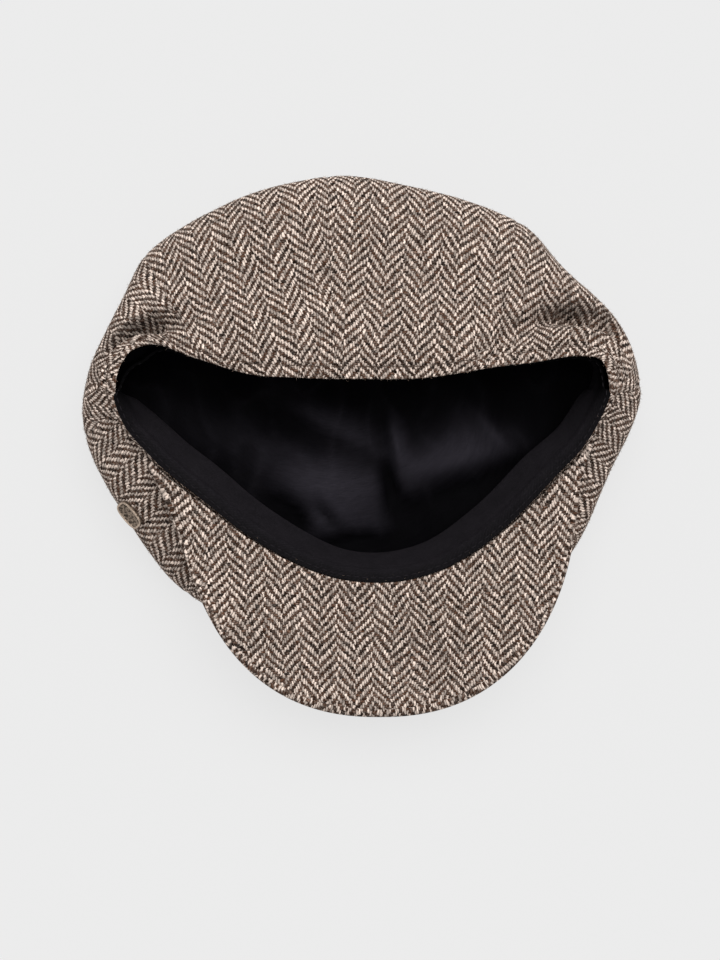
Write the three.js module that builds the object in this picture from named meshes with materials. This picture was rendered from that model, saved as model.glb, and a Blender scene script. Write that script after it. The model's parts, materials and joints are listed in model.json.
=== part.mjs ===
// Baker boy cap, lying upside down on its crown with the head opening up.
// Millimetres, +Z up, floor at z = 0, peak toward -Y, back of the crown toward +Y.
// The origin is on the floor under the middle of the cap.
import * as THREE from "three";

// Cloth thickness and the gap kept where two pieces meet
const TWEED = 2.0;
const LINING_CLOTH = 1.0;
const BAND_CLOTH = 1.2;
const PEAK_UNDER_CLOTH = 1.7;
const PEAK_UPPER_CLOTH = 2.0;
const SEAM_GAP = 0.3;

// Colours, roughness and metalness
const TWEED_LOOK = { color: 0x877770, roughness: 0.95, metalness: 0 };
const LINING_LOOK = { color: 0x17161a, roughness: 0.6, metalness: 0 };
const BAND_LOOK = { color: 0x211f22, roughness: 0.75, metalness: 0 };
const BRASS_LOOK = { color: 0x6b5636, roughness: 0.4, metalness: 1 };

// Stations along a gore, as shares of the way from the rim to the top of the crown
const EQUATOR = 0.52;
const FLOOR_EDGE = 0.66;
const GORE_TIP = 0.997;
const GORE_STATIONS = [
  0, 0.02, 0.045, 0.075, 0.105, 0.14, 0.19, 0.25, 0.31, 0.37, 0.43,
  0.48, EQUATOR, 0.56, 0.6, 0.63, FLOOR_EDGE, 0.74, 0.86, GORE_TIP,
];
const GORE_COLUMNS = 6;

// Rings of the crown. Each ring is widest at y = widestY; its back half reaches back at the middle and
// rises by lift toward its corners, and its front half falls away with the given power.
const RINGS = table(
  ["v", "halfWidth", "widestY", "back", "lift", "front", "power", "zBack", "zSide", "zFront"],
  [
    [0.0, 119.5, 29.0, 3.0, 42.0, 94.0, 1.7, 57.0, 53.0, 42.0],
    [0.04, 122.5, 29.0, 10.0, 39.0, 94.5, 1.68, 57.0, 51.5, 34.0],
    [0.09, 126.5, 28.5, 20.0, 35.0, 98.0, 1.6, 55.5, 48.5, 29.0],
    [0.28, 133.0, 26.0, 60.0, 24.0, 110.0, 1.3, 50.0, 40.0, 23.0],
    [0.44, 136.5, 23.5, 100.0, 5.0, 118.0, 1.1, 38.0, 30.0, 18.0],
    [EQUATOR, 137.0, 23.0, 108.5, 0.0, 120.0, 1.05, 25.0, 21.0, 13.0],
    [0.6, 130.0, 24.0, 101.0, 0.0, 113.0, 1.0, 6.0, 5.0, 3.0],
    [FLOOR_EDGE, 116.0, 26.0, 88.0, 0.0, 101.0, 1.0, 0.0, 0.0, 0.0],
    [1.0, 0.0, 52.0, 0.0, 0.0, 0.0, 1.0, 0.0, 0.0, 0.0],
  ],
);

// How far the soft rim sags toward the back (+) or the peak (-) of its ring, fading out below it
const RIM_SAG_FADE = 0.14;
const RIM_SAG = table(
  ["deg", "shift"],
  [
    [0, -1.5],
    [13, 2],
    [28, -2],
    [46, -5.5],
    [60, -3.5],
    [75, -2],
    [90, 0],
    [103, -1.5],
    [118, -5],
    [132, -3],
    [148, 1.5],
    [165, -1.5],
    [180, -3],
    [197, -6.5],
    [213, -1.5],
    [234, 5.5],
    [250, 4],
    [266, 0.5],
    [291, -2.7],
    [318, -0.3],
    [336, -4.5],
    [360, -1.5],
  ],
);

// Seams between the gores, counter-clockwise from above: angle at the rim and at the equator, how far
// the seam stands out there, how flat the gore after it lies, and where across it is flattest.
const SEAMS = table(
  ["gore", "rimDeg", "equatorDeg", "reach", "chord", "flattest"],
  [
    ["crown_gore_right_rear", -7, 4, 0.5, 6, 0.64],
    ["crown_gore_back_right", 60, 55, -2, 2, 0.5],
    ["crown_gore_back_left", 95.6, 97, 2, 0.5, 0.5],
    ["crown_gore_left_rear", 129.6, 140, 2.5, 6, 0.36],
    ["crown_gore_left_fore", 198, 189, 1.2, 3.5, 0.5],
    ["crown_gore_front_left", 242, 232, 3, 0, 0.5],
    ["crown_gore_front_right", 273, 273, 0, 0, 0.5],
    ["crown_gore_right_fore", 308, 314, 0, 7, 0.5],
  ],
);
const CROWN_MIDDLE_Y = 24;

// Share of the seam shaping that each ring takes
const FULLNESS = table(
  ["v", "share"],
  [
    [0, 0],
    [0.3, 0.6],
    [EQUATOR, 1],
    [FLOOR_EDGE, 0.6],
    [1, 0],
  ],
);

// Dents pressed into the crown: place, reach both ways and depth
const DENTS = table(
  ["name", "deg", "v", "reachDeg", "reachV", "depth"],
  [
    ["crease above the right end of the rim", 33, 0.13, 20, 0.04, 6],
    ["crease above the left end of the rim", 146, 0.075, 13, 0.03, 5],
    ["valley across the back", 95, 0.26, 45, 0.08, 4],
  ],
);

// Lining: starts under the rim, follows the crown inside and lies in soft folds on its floor
const LINING_TOP = 0.045;
const LINING_STATIONS = [
  LINING_TOP, 0.075, 0.105, 0.14, 0.19, 0.25, 0.31, 0.37, 0.43,
  0.48, EQUATOR, 0.56, 0.6, 0.63, FLOOR_EDGE, 0.74, 0.82, 0.91,
];
const LINING_GAP = 0.5;
const FOLD_START = 0.5;
const FOLDS = table(
  ["name", "x", "y", "deg", "length", "width", "height"],
  [
    ["ridge from the back left", -13, 14, -28, 34, 13, 9],
    ["swell on the right", 44, 0, 12, 34, 20, 8],
    ["swell on the left", -20, -14, 20, 24, 13, 6],
  ],
);

// Sweatband: strip hung from the rim, by the sine of the angle from front (-1) to back (1).
// Tuck is how far inside the rim it starts, drop how far below, lean how far in its free edge stands.
const BAND_WIDTH = 30;
const BAND_COLUMNS = 56;
const BAND_ROWS = 3;
const BAND_HANG = table(
  ["sine", "tuck", "drop", "lean"],
  [
    [-1, 2.6, 1.0, 9],
    [-0.7, 2.6, 1.0, 8],
    [-0.35, 2.6, 1.2, 4],
    [0, 2.6, 2.0, -1],
    [0.5, 2.0, 3.0, 0],
    [1, -2.0, 3.0, -4],
  ],
);

// Peak: sewn to the rim between two angles, with a superellipse for its outer edge that flares out to
// meet the rim at the left end
const PEAK_LEFT_DEG = 212.5;
const PEAK_RIGHT_DEG = 334.5;
const PEAK_MIDDLE_X = 8.4;
const PEAK_MIDDLE_Y = -11.2;
const PEAK_HALF_WIDTH = 95.4;
const PEAK_REACH = 120.7;
const PEAK_ROUNDNESS = 2.3;
const PEAK_LEFT_FLARE = 14.5;
const PEAK_FLARE_FADE = 6;
const PEAK_END_Z = 47;
const PEAK_TIP_Z = 30;
const PEAK_SAG = 2;
const PEAK_COLUMNS = 26;
const PEAK_STATIONS = [0, 0.06, 0.16, 0.32, 0.5, 0.68, 0.84, 0.95];
const PEAK_LIP_STATION = 0.965;
const PEAK_SEAM_CLEAR = 1.0;
const PEAK_END_CLEAR = 3.2;
const PEAK_SEAM_SHARE = 0.35;
const PEAK_FULL_STATION = 0.16;

// Side badge: small plate with rounded ends on the left fore gore, its border raised round the middle.
// The profile runs inward from its edge, in shares of its half size and of its thickness.
const BADGE_GORE = 4;
const BADGE_ACROSS = 0.5;
const BADGE_ALONG = 0.42;
const BADGE_LENGTH = 13.5;
const BADGE_WIDTH = 9;
const BADGE_THICKNESS = 2.2;
const BADGE_ROUNDNESS = 3;
const BADGE_COLUMNS = 20;
const BADGE_CLEAR = 0.4;
const BADGE_MIDDLE = 0.7;
const BADGE_PROFILE = table(
  ["share", "height"],
  [
    [1, 0.6],
    [0.9, 1],
    [0.76, 1],
    [0.66, 0.6],
  ],
);

// Table helpers

function table(columns, rows) {
  return rows.map((row) => Object.fromEntries(columns.map((name, i) => [name, row[i]])));
}

// Monotone cubic through two columns of a table: it turns only where the rows do
function through(rows, key, column, at) {
  const last = rows.length - 2;
  let i = 0;
  while (i < last && at >= rows[i + 1][key]) i += 1;
  const slope = (k) => (rows[k + 1][column] - rows[k][column]) / (rows[k + 1][key] - rows[k][key]);
  const tangent = (k) => {
    if (k === 0) return slope(0);
    if (k === rows.length - 1) return slope(k - 1);
    const before = slope(k - 1);
    const after = slope(k);
    return before * after > 0 ? (2 * before * after) / (before + after) : 0;
  };
  const span = rows[i + 1][key] - rows[i][key];
  const t = (at - rows[i][key]) / span;
  const u = 1 - t;
  return (
    (1 + 2 * t) * u * u * rows[i][column] +
    t * u * u * span * tangent(i) +
    t * t * (3 - 2 * t) * rows[i + 1][column] -
    t * t * u * span * tangent(i + 1)
  );
}

const radians = THREE.MathUtils.degToRad;
const smooth = THREE.MathUtils.smoothstep;

// Crown surface

// Point of the ring at v, before the seams and dents shape it
function ringPoint(deg, v) {
  const size = (column) => through(RINGS, "v", column, v);
  const cos = Math.cos(radians(deg));
  const sin = Math.sin(radians(deg));
  const behind = sin > 0;
  const y = behind
    ? (size("back") + size("lift")) * sin - size("lift") * sin ** 3
    : -size("front") * Math.abs(sin) ** size("power");
  const turn = THREE.MathUtils.euclideanModulo(deg, 360);
  const sag = through(RIM_SAG, "deg", "shift", turn) * (1 - smooth(v, 0, RIM_SAG_FADE));
  const zEnd = size(behind ? "zBack" : "zFront");
  const z = size("zSide") + (zEnd - size("zSide")) * sin * sin;
  return new THREE.Vector3(size("halfWidth") * cos, size("widestY") + y + sag, z);
}

// Angle of a seam at v: from its rim angle through its equator angle to an even share of the top
function seamDeg(index, v) {
  const turn = Math.floor(index / SEAMS.length);
  const k = index - turn * SEAMS.length;
  const way = [
    { v: 0, deg: SEAMS[k].rimDeg },
    { v: EQUATOR, deg: SEAMS[k].equatorDeg },
    { v: 1, deg: (360 * k) / SEAMS.length },
  ];
  return through(way, "v", "deg", v) + 360 * turn;
}

function goreDeg(gore, across, v) {
  return THREE.MathUtils.lerp(seamDeg(gore, v), seamDeg(gore + 1, v), across);
}

// Point of a gore, shaped by its two seams
function gorePoint(gore, across, v) {
  const point = ringPoint(goreDeg(gore, across, v), v);
  const here = SEAMS[gore];
  const next = SEAMS[(gore + 1) % SEAMS.length];
  const reach = THREE.MathUtils.lerp(here.reach, next.reach, smooth(across, 0, 1));
  const skew = Math.log(0.5) / Math.log(here.flattest);
  const flat = here.chord * Math.sin(Math.PI * Math.max(across, 0) ** skew) ** 2;
  const outward = new THREE.Vector3(point.x, point.y - CROWN_MIDDLE_Y, 0).normalize();
  return point.addScaledVector(outward, (reach - flat) * through(FULLNESS, "v", "share", v));
}

function goreNormal(gore, across, v) {
  const step = 1e-3;
  const along = gorePoint(gore, across, Math.min(v + step, 1 - step));
  along.sub(gorePoint(gore, across, Math.max(v - step, 0)));
  const around = gorePoint(gore, across + step, v).sub(gorePoint(gore, across - step, v));
  return along.cross(around).normalize();
}

function dentDepth(deg, v) {
  let depth = 0;
  for (const dent of DENTS) {
    const turn = THREE.MathUtils.euclideanModulo(deg - dent.deg + 180, 360) - 180;
    depth += dent.depth * Math.exp(-((turn / dent.reachDeg) ** 2) - ((v - dent.v) / dent.reachV) ** 2);
  }
  return depth;
}

// Point of the finished crown, inset from its outer face
function crownPoint(gore, across, v, inset) {
  const depth = inset + dentDepth(goreDeg(gore, across, v), v);
  return gorePoint(gore, across, v).addScaledVector(goreNormal(gore, across, v), -depth);
}

// Solids from two faces

// Closed solid between an outer and an inner grid of points (rows of columns). A ring's columns wrap
// round, and a ring whose last row is a single point is closed there.
function solidBetween(outer, inner, ring) {
  const positions = [];
  const indexOf = new Map();
  const add = (point) => {
    if (!indexOf.has(point)) {
      indexOf.set(point, positions.length / 3);
      positions.push(point.x, point.y, point.z);
    }
    return indexOf.get(point);
  };
  const triangles = [];
  const face = (a, b, c) => {
    if (a !== b && b !== c && c !== a) triangles.push(add(a), add(b), add(c));
  };
  const quad = (a, b, c, d) => {
    face(a, b, c);
    face(a, c, d);
  };
  const rows = outer.length;
  const columns = outer[0].length;
  const steps = ring ? columns : columns - 1;
  for (let j = 0; j < steps; j += 1) {
    const k = (j + 1) % columns;
    for (let i = 0; i + 1 < rows; i += 1) {
      quad(outer[i][j], outer[i + 1][j], outer[i + 1][k], outer[i][k]);
      quad(inner[i][j], inner[i][k], inner[i + 1][k], inner[i + 1][j]);
    }
    quad(outer[0][j], outer[0][k], inner[0][k], inner[0][j]);
    const end = rows - 1;
    if (outer[end][j] !== outer[end][k]) {
      quad(outer[end][k], outer[end][j], inner[end][j], inner[end][k]);
    }
  }
  if (!ring) {
    const end = columns - 1;
    for (let i = 0; i + 1 < rows; i += 1) {
      quad(outer[i + 1][0], outer[i][0], inner[i][0], inner[i + 1][0]);
      quad(outer[i][end], outer[i + 1][end], inner[i + 1][end], inner[i][end]);
    }
  }
  const geometry = new THREE.BufferGeometry();
  geometry.setAttribute("position", new THREE.Float32BufferAttribute(positions, 3));
  geometry.setIndex(triangles);
  geometry.computeVertexNormals();
  return geometry;
}

function grid(rowStations, columnCount, pointAt) {
  return rowStations.map((row) => Array.from({ length: columnCount }, (_, j) => pointAt(row, j)));
}

function piece(name, geometry, look) {
  const mesh = new THREE.Mesh(geometry, new THREE.MeshStandardMaterial(look));
  mesh.name = name;
  return mesh;
}

// Pieces

// One gore of the crown, half a seam gap short of its neighbours on both sides
function goreSolid(gore) {
  const side = (inset) =>
    grid(GORE_STATIONS, GORE_COLUMNS + 1, (v, j) => {
      const width = gorePoint(gore, 0, v).distanceTo(gorePoint(gore, 1, v));
      const margin = SEAM_GAP / 2 / width;
      return crownPoint(gore, THREE.MathUtils.lerp(margin, 1 - margin, j / GORE_COLUMNS), v, inset);
    });
  return solidBetween(side(0), side(TWEED), false);
}

function foldHeight(x, y) {
  let height = 0;
  for (const fold of FOLDS) {
    const turn = radians(fold.deg);
    const along = (x - fold.x) * Math.cos(turn) + (y - fold.y) * Math.sin(turn);
    const across = (y - fold.y) * Math.cos(turn) - (x - fold.x) * Math.sin(turn);
    height += fold.height * Math.exp(-((along / fold.length) ** 2) - (across / fold.width) ** 2);
  }
  return height;
}

function liningSolid() {
  const columns = GORE_COLUMNS * SEAMS.length;
  const side = (inset) => {
    const raise = (point, v) => {
      point.z += foldHeight(point.x, point.y) * smooth(v, FOLD_START, FLOOR_EDGE);
      return point;
    };
    const rows = grid(LINING_STATIONS, columns, (v, j) => {
      const gore = Math.floor(j / GORE_COLUMNS);
      return raise(crownPoint(gore, (j % GORE_COLUMNS) / GORE_COLUMNS, v, inset), v);
    });
    const pole = ringPoint(0, 1);
    pole.z += inset;
    raise(pole, 1);
    rows.push(Array.from({ length: columns }, () => pole));
    return rows;
  };
  const outside = TWEED + LINING_GAP;
  return solidBetween(side(outside), side(outside + LINING_CLOTH), true);
}

// Level direction out of the opening at a point of the rim
function rimOutward(deg) {
  const step = 0.2;
  const run = ringPoint(deg + step, 0).sub(ringPoint(deg - step, 0));
  return new THREE.Vector3(run.y, -run.x, 0).normalize();
}

function bandPoint(deg, down, inset) {
  const hang = (column) => through(BAND_HANG, "sine", column, Math.sin(radians(deg)));
  const fall = Math.sqrt(BAND_WIDTH ** 2 - hang("lean") ** 2);
  const point = ringPoint(deg, 0);
  point.addScaledVector(rimOutward(deg), -(hang("tuck") + inset + hang("lean") * down));
  point.z -= hang("drop") + fall * down;
  return point;
}

function bandSolid() {
  const rows = Array.from({ length: BAND_ROWS + 1 }, (_, i) => i / BAND_ROWS);
  const side = (inset) =>
    grid(rows, BAND_COLUMNS, (down, j) => bandPoint((360 * j) / BAND_COLUMNS, down, inset));
  return solidBetween(side(0), side(BAND_CLOTH), true);
}

// Upper face of the peak as it lies: t runs from its left end to its right, s from the rim to its edge
function peakPoint(t, s) {
  const deg = THREE.MathUtils.lerp(PEAK_LEFT_DEG, PEAK_RIGHT_DEG, t);
  const sweep = Math.PI * t;
  const cos = Math.cos(sweep);
  const sin = Math.sin(sweep);
  const power = 2 / PEAK_ROUNDNESS;
  const clear = THREE.MathUtils.lerp(PEAK_END_CLEAR, PEAK_SEAM_CLEAR, sin);
  const inner = ringPoint(deg, 0).addScaledVector(rimOutward(deg), clear);
  const flare = cos > 0 ? PEAK_LEFT_FLARE * (1 - sin) ** PEAK_FLARE_FADE : 0;
  const outer = new THREE.Vector3(
    PEAK_MIDDLE_X - flare - PEAK_HALF_WIDTH * Math.sign(cos) * Math.abs(cos) ** power,
    PEAK_MIDDLE_Y - PEAK_REACH * sin ** power,
    THREE.MathUtils.lerp(PEAK_END_Z, PEAK_TIP_Z, sin * sin),
  );
  const point = inner.lerp(outer, s);
  point.z -= PEAK_SAG * sin * 4 * s * (1 - s);
  return point;
}

// One layer of the peak between two depths below its upper face, out to the last station
function peakLayer(stations, topDepth, bottomDepth) {
  const side = (depthAt) =>
    grid(stations, PEAK_COLUMNS + 1, (s, j) => {
      const point = peakPoint(j / PEAK_COLUMNS, s);
      point.z -= depthAt(s);
      return point;
    });
  return solidBetween(side(topDepth), side(bottomDepth), false);
}

// Each layer thins toward the rim, where it is sewn in
function peakThickness(cloth, s) {
  return cloth * THREE.MathUtils.lerp(PEAK_SEAM_SHARE, 1, smooth(s, 0, PEAK_FULL_STATION));
}

function peakUnderSolid() {
  return peakLayer(PEAK_STATIONS, () => 0, (s) => peakThickness(PEAK_UNDER_CLOTH, s));
}

// The upper cloth lies below and turns up round the edge into a lip beside the under cloth
function peakUpperSolid() {
  const last = PEAK_STATIONS[PEAK_STATIONS.length - 1];
  const stations = [...PEAK_STATIONS, PEAK_LIP_STATION, 1];
  const below = (s) => peakThickness(PEAK_UNDER_CLOTH, s) + SEAM_GAP;
  const top = (s) => (s > last ? 0 : below(s));
  return peakLayer(stations, top, (s) => below(s) + peakThickness(PEAK_UPPER_CLOTH, s));
}

function badgeMesh() {
  const power = 2 / BADGE_ROUNDNESS;
  const rounded = (n) => Math.sign(n) * Math.abs(n) ** power;
  const face = (heightOf, middle) => {
    const rows = grid(BADGE_PROFILE, BADGE_COLUMNS, (row, j) => {
      const turn = (-2 * Math.PI * j) / BADGE_COLUMNS;
      const x = (BADGE_LENGTH / 2) * row.share * rounded(Math.cos(turn));
      const y = (BADGE_WIDTH / 2) * row.share * rounded(Math.sin(turn));
      return new THREE.Vector3(x, y, heightOf(row));
    });
    const pole = new THREE.Vector3(0, 0, middle);
    rows.push(Array.from({ length: BADGE_COLUMNS }, () => pole));
    return rows;
  };
  const top = face((row) => row.height * BADGE_THICKNESS, BADGE_MIDDLE * BADGE_THICKNESS);
  const mesh = piece("side_badge", solidBetween(top, face(() => 0, 0), true), BRASS_LOOK);
  const normal = goreNormal(BADGE_GORE, BADGE_ACROSS, BADGE_ALONG);
  const around = new THREE.Vector3(-normal.y, normal.x, 0).normalize();
  const up = normal.clone().cross(around);
  mesh.position.copy(crownPoint(BADGE_GORE, BADGE_ACROSS, BADGE_ALONG, -BADGE_CLEAR));
  mesh.quaternion.setFromRotationMatrix(new THREE.Matrix4().makeBasis(around, up, normal));
  return mesh;
}

// Whole cap
const cap = new THREE.Group();
SEAMS.forEach((seam, gore) => cap.add(piece(seam.gore, goreSolid(gore), TWEED_LOOK)));
cap.add(piece("lining", liningSolid(), LINING_LOOK));
cap.add(piece("sweatband", bandSolid(), BAND_LOOK));
cap.add(piece("peak_under_cloth", peakUnderSolid(), TWEED_LOOK));
cap.add(piece("peak_upper_cloth", peakUpperSolid(), TWEED_LOOK));
cap.add(badgeMesh());

export default cap;
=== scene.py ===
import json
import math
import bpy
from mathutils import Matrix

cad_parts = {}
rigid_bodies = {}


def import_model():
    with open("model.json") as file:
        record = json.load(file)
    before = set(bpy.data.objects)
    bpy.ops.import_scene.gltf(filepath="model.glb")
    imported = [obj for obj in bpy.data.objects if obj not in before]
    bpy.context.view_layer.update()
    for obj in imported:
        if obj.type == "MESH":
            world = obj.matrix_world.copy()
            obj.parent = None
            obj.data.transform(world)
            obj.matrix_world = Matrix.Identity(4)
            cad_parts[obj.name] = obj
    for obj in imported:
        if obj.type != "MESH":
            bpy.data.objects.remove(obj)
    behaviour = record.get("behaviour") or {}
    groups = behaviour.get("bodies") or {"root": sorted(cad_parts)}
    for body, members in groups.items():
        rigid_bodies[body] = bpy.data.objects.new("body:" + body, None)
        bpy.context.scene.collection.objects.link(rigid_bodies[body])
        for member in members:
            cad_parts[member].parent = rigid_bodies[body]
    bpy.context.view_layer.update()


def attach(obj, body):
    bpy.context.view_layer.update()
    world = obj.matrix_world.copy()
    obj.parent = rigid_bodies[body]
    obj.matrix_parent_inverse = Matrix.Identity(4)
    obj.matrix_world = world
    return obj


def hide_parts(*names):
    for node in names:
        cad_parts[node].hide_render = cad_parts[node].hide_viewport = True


bl_info = {
    "name": "Baker Boy Cap",
    "version": (1, 0, 0),
    "blender": (4, 5, 0),
    "location": "3D View > Sidebar > Cap",
    "description": "Sews a herringbone tweed cap that lies on its crown, with its studio floor and camera",
    "category": "Add Mesh",
}

from collections import namedtuple

import bmesh
import bpy
import numpy as np
from bpy.props import FloatProperty, FloatVectorProperty, PointerProperty
from mathutils import Matrix, Vector, noise

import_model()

# All shape tables are in millimetres and degrees; meshes are made in metres
MM = 0.001
CLOTH_MAP = "cloth"
PAINTED_LIGHT = "raised"
RUBBED = "rubbed"

# Soft unevenness: a row for each size of lump; a y_scale under 1 draws the lumps out along y
Lump = namedtuple("Lump", "size seed share y_scale")

# Cap shape, as in the part: rings of the crown from the rim (v = 0) to the middle of its top (v = 1)
EQUATOR = 0.52
FLOOR_EDGE = 0.66
GORE_TIP = 0.997
CROWN_MIDDLE_Y = 24
Ring = namedtuple("Ring", "v half_width widest_y back lift front power z_back z_side z_front")
RINGS = [
    Ring(0.0, 119.5, 29.0, 3.0, 42.0, 94.0, 1.7, 57.0, 53.0, 42.0),
    Ring(0.04, 122.5, 29.0, 10.0, 39.0, 94.5, 1.68, 57.0, 51.5, 34.0),
    Ring(0.09, 126.5, 28.5, 20.0, 35.0, 98.0, 1.6, 55.5, 48.5, 29.0),
    Ring(0.28, 133.0, 26.0, 60.0, 24.0, 110.0, 1.3, 50.0, 40.0, 23.0),
    Ring(0.44, 136.5, 23.5, 100.0, 5.0, 118.0, 1.1, 38.0, 30.0, 18.0),
    Ring(EQUATOR, 137.0, 23.0, 108.5, 0.0, 120.0, 1.05, 25.0, 21.0, 13.0),
    Ring(0.6, 130.0, 24.0, 101.0, 0.0, 113.0, 1.0, 6.0, 5.0, 3.0),
    Ring(FLOOR_EDGE, 116.0, 26.0, 88.0, 0.0, 101.0, 1.0, 0.0, 0.0, 0.0),
    Ring(1.0, 0.0, 52.0, 0.0, 0.0, 0.0, 1.0, 0.0, 0.0, 0.0),
]

# How far the soft rim sags toward the back (+) or the peak (-), fading out below it
RIM_SAG_FADE = 0.14
Sag = namedtuple("Sag", "deg shift")
RIM_SAG = [
    Sag(0, -1.5),
    Sag(13, 2),
    Sag(28, -2),
    Sag(46, -5.5),
    Sag(60, -3.5),
    Sag(75, -2),
    Sag(90, 0),
    Sag(103, -1.5),
    Sag(118, -5),
    Sag(132, -3),
    Sag(148, 2.5),
    Sag(158, 3),
    Sag(168, 1),
    Sag(180, -2),
    Sag(197, -6.5),
    Sag(213, -1.5),
    Sag(234, 5.5),
    Sag(250, 4),
    Sag(266, 0.5),
    Sag(291, -2.7),
    Sag(318, -0.3),
    Sag(336, -4.5),
    Sag(360, -1.5),
]

# Seams, counter-clockwise from above, each named for the gore after it
Seam = namedtuple("Seam", "gore rim_deg equator_deg reach chord flattest")
SEAMS = [
    Seam("crown_gore_right_rear", -7, 4, 0.5, 6, 0.64),
    Seam("crown_gore_back_right", 60, 55, -2, 2, 0.5),
    Seam("crown_gore_back_left", 95.6, 97, 2, 0.5, 0.5),
    Seam("crown_gore_left_rear", 129.6, 140, 2.5, 6, 0.36),
    Seam("crown_gore_left_fore", 198, 189, 1.2, 3.5, 0.5),
    Seam("crown_gore_front_left", 242, 232, 3, 0, 0.5),
    Seam("crown_gore_front_right", 273, 273, 0, 0, 0.5),
    Seam("crown_gore_right_fore", 308, 314, 0, 7, 0.5),
]
Way = namedtuple("Way", "v deg")

# How much of the seams' reach and chord shows between the rim and the middle of the top
Fullness = namedtuple("Fullness", "v share")
FULLNESS = [
    Fullness(0, 0),
    Fullness(0.3, 0.6),
    Fullness(EQUATOR, 1),
    Fullness(FLOOR_EDGE, 0.6),
    Fullness(1, 0),
]

# Dents pressed into the crown; slant is how far v moves per degree along one, and a negative depth
# is a swell
Dent = namedtuple("Dent", "name deg v slant reach_deg reach_v depth")
DENTS = [
    Dent("crease above the right end of the rim", 38, 0.205, -0.006, 18, 0.05, 9.5),
    Dent("crease above the left end of the rim", 147, 0.138, 0, 13.5, 0.042, 10.5),
    Dent("outer end of the left crease", 161, 0.185, 0.006, 7, 0.04, 3),
    Dent("outer end of the right crease", 20, 0.3, 0, 8, 0.045, 4.5),
    Dent("valley across the back", 95, 0.26, 0, 45, 0.08, 4),
    Dent("sharp fold in the right crease", 38, 0.208, -0.006, 16, 0.026, 2.2),
    Dent("roll below the right crease", 32, 0.145, -0.0055, 13, 0.04, -2.0),
    Dent("sharp fold in the left crease", 147, 0.125, 0, 12, 0.024, 2),
    Dent("bulge above the left crease", 148, 0.23, 0, 14, 0.05, -2.4),
    Dent("pucker at the left end", 178, 0.2, 0, 3.5, 0.12, 2.0),
    Dent("dimple by the left back seam", 128, 0.2, 0, 6, 0.05, 1.6),
]

# Shade under the folds that hang over a crease; its depth is the share of light lost
SHADES = [
    Dent("under the right bulge", 34, 0.29, -0.0081, 15, 0.042, 0.65),
    Dent("under the left bulge", 147, 0.182, 0.0025, 12, 0.032, 0.68),
    Dent("outer end under the left bulge", 161, 0.225, 0.006, 6, 0.032, 0.35),
]
HEM_SHADE = 0.3

# Gore meshes: rows run from the turned-in hem round the rim's fold and on to the tip
GORE_COLUMNS = 64
GORE_ROWS = 120
GORE_SEAM_CROWDING = 0.12
GORE_EVEN_ROWS = 0.35
RIM_RULER_END = 0.12
RIM_RULER_STEPS = 60
HEM_TURN = 7.0
HEM_TURN_ROWS = 4
HEM_FOLD_ROWS = 10
HEM_FOLD_REACH = 2.6
HEM_FOLD_DEPTH = 1.25
HEM_STITCH_FROM_DEG = -22
HEM_STITCH_TO_DEG = 205
HEM_STITCH_GORES = (7, 0, 1, 2, 3, 4)
HEM_STITCH_STATIONS = 60
HEM_STITCH_OUT = 0.4
HEM_STITCH_REACH = 0.9
HEM_SWELL = 0.5
HEM_SWELL_REACH = 2.2
SEAM_GAP = 0.12
SEAM_REACH = 1.6
RIPPLES = [Lump(34, 3.0, 0.75, 1), Lump(13, 8.0, 0.25, 1)]

# Net of threads that lays a gore flat
NET_ROWS = 3
NET_COLUMNS = 4
NET_PULLS = 80
NET_HOLD = 1e-4
NET_SHORTEST = 0.5

# Lining: a fold runs along deg, reaches width to its left and fall to its right, and a negative height is
# a hollow
LINING_TOP = 0.045
LINING_TIP = 0.999
LINING_INSET = 3.5
LINING_SLACK = 1.5
LINING_COLUMNS = 240
LINING_ROWS = 120
FOLD_START = 0.5
Fold = namedtuple("Fold", "name x y deg length width fall height")
FOLDS = [
    Fold("ridge from the back left", -14, 10, -27, 29, 11, 4.5, 6),
    Fold("turn of the ridge", 17, 2, -80, 13, 6, 3.5, 9),
    Fold("swell on the right", 47, -7, 16, 27, 13, 8, 12),
    Fold("rise behind the right swell", 48, 14, 75, 13, 11, 11, 2.8),
    Fold("streak right of the rise", 65, 8, -52, 14, 3.5, 3.5, 3),
    Fold("swell on the left", -15, -23, 0, 27, 19, 23, 11),
    Fold("rise on the far left", -80, 8, -30, 30, 14, 14, 2.8),
    Fold("rise below the ridge", -42, -4, -35, 24, 12, 12, 2.6),
    Fold("pocket at the left of the band", -37, -33, -35, 11, 7, 7, -10),
    Fold("small pleat by the pocket", -18, -34, -48, 8, 2.6, 2.6, -5),
    Fold("pocket behind the band", 0, -49, 0, 16, 4.5, 4.5, -11),
    Fold("fold between the swells", 14.5, -20, -74, 12, 3.4, 4.5, -8),
    Fold("end of the fold between", 20, -33, -50, 8, 6, 6, -5),
    Fold("hollow between the right swell and the band", 50, -29, 29, 27, 7, 10, -8),
]
FOLD_SOFTNESS = 0.6
LINING_CREASES = [Lump(22, 5.0, 1, 1), Lump(9, 7.0, 0.4, 1), Lump(5, 9.0, 0.45, 0.3)]
LINING_WRINKLE = Lump(18, 12.0, 0.7, 0.6)
WRINKLE_SHARPNESS = 9
CREASE_HEIGHT = 0.9
CREASE_LIFT = 0.6

# Painted light and shade on the lining: painted lighter on its high folds and darker in its hollows on the
# crown's top, and an even painted shade on the wall below the rim
LINING_DARKEST = -0.6
LINING_LIGHTEST = 11.5
LINING_WALL_TONE = 0.5
LINING_WALL_START = (0.15, 0.3)
LINING_WALL_END = (0.42, 0.56)

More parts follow.
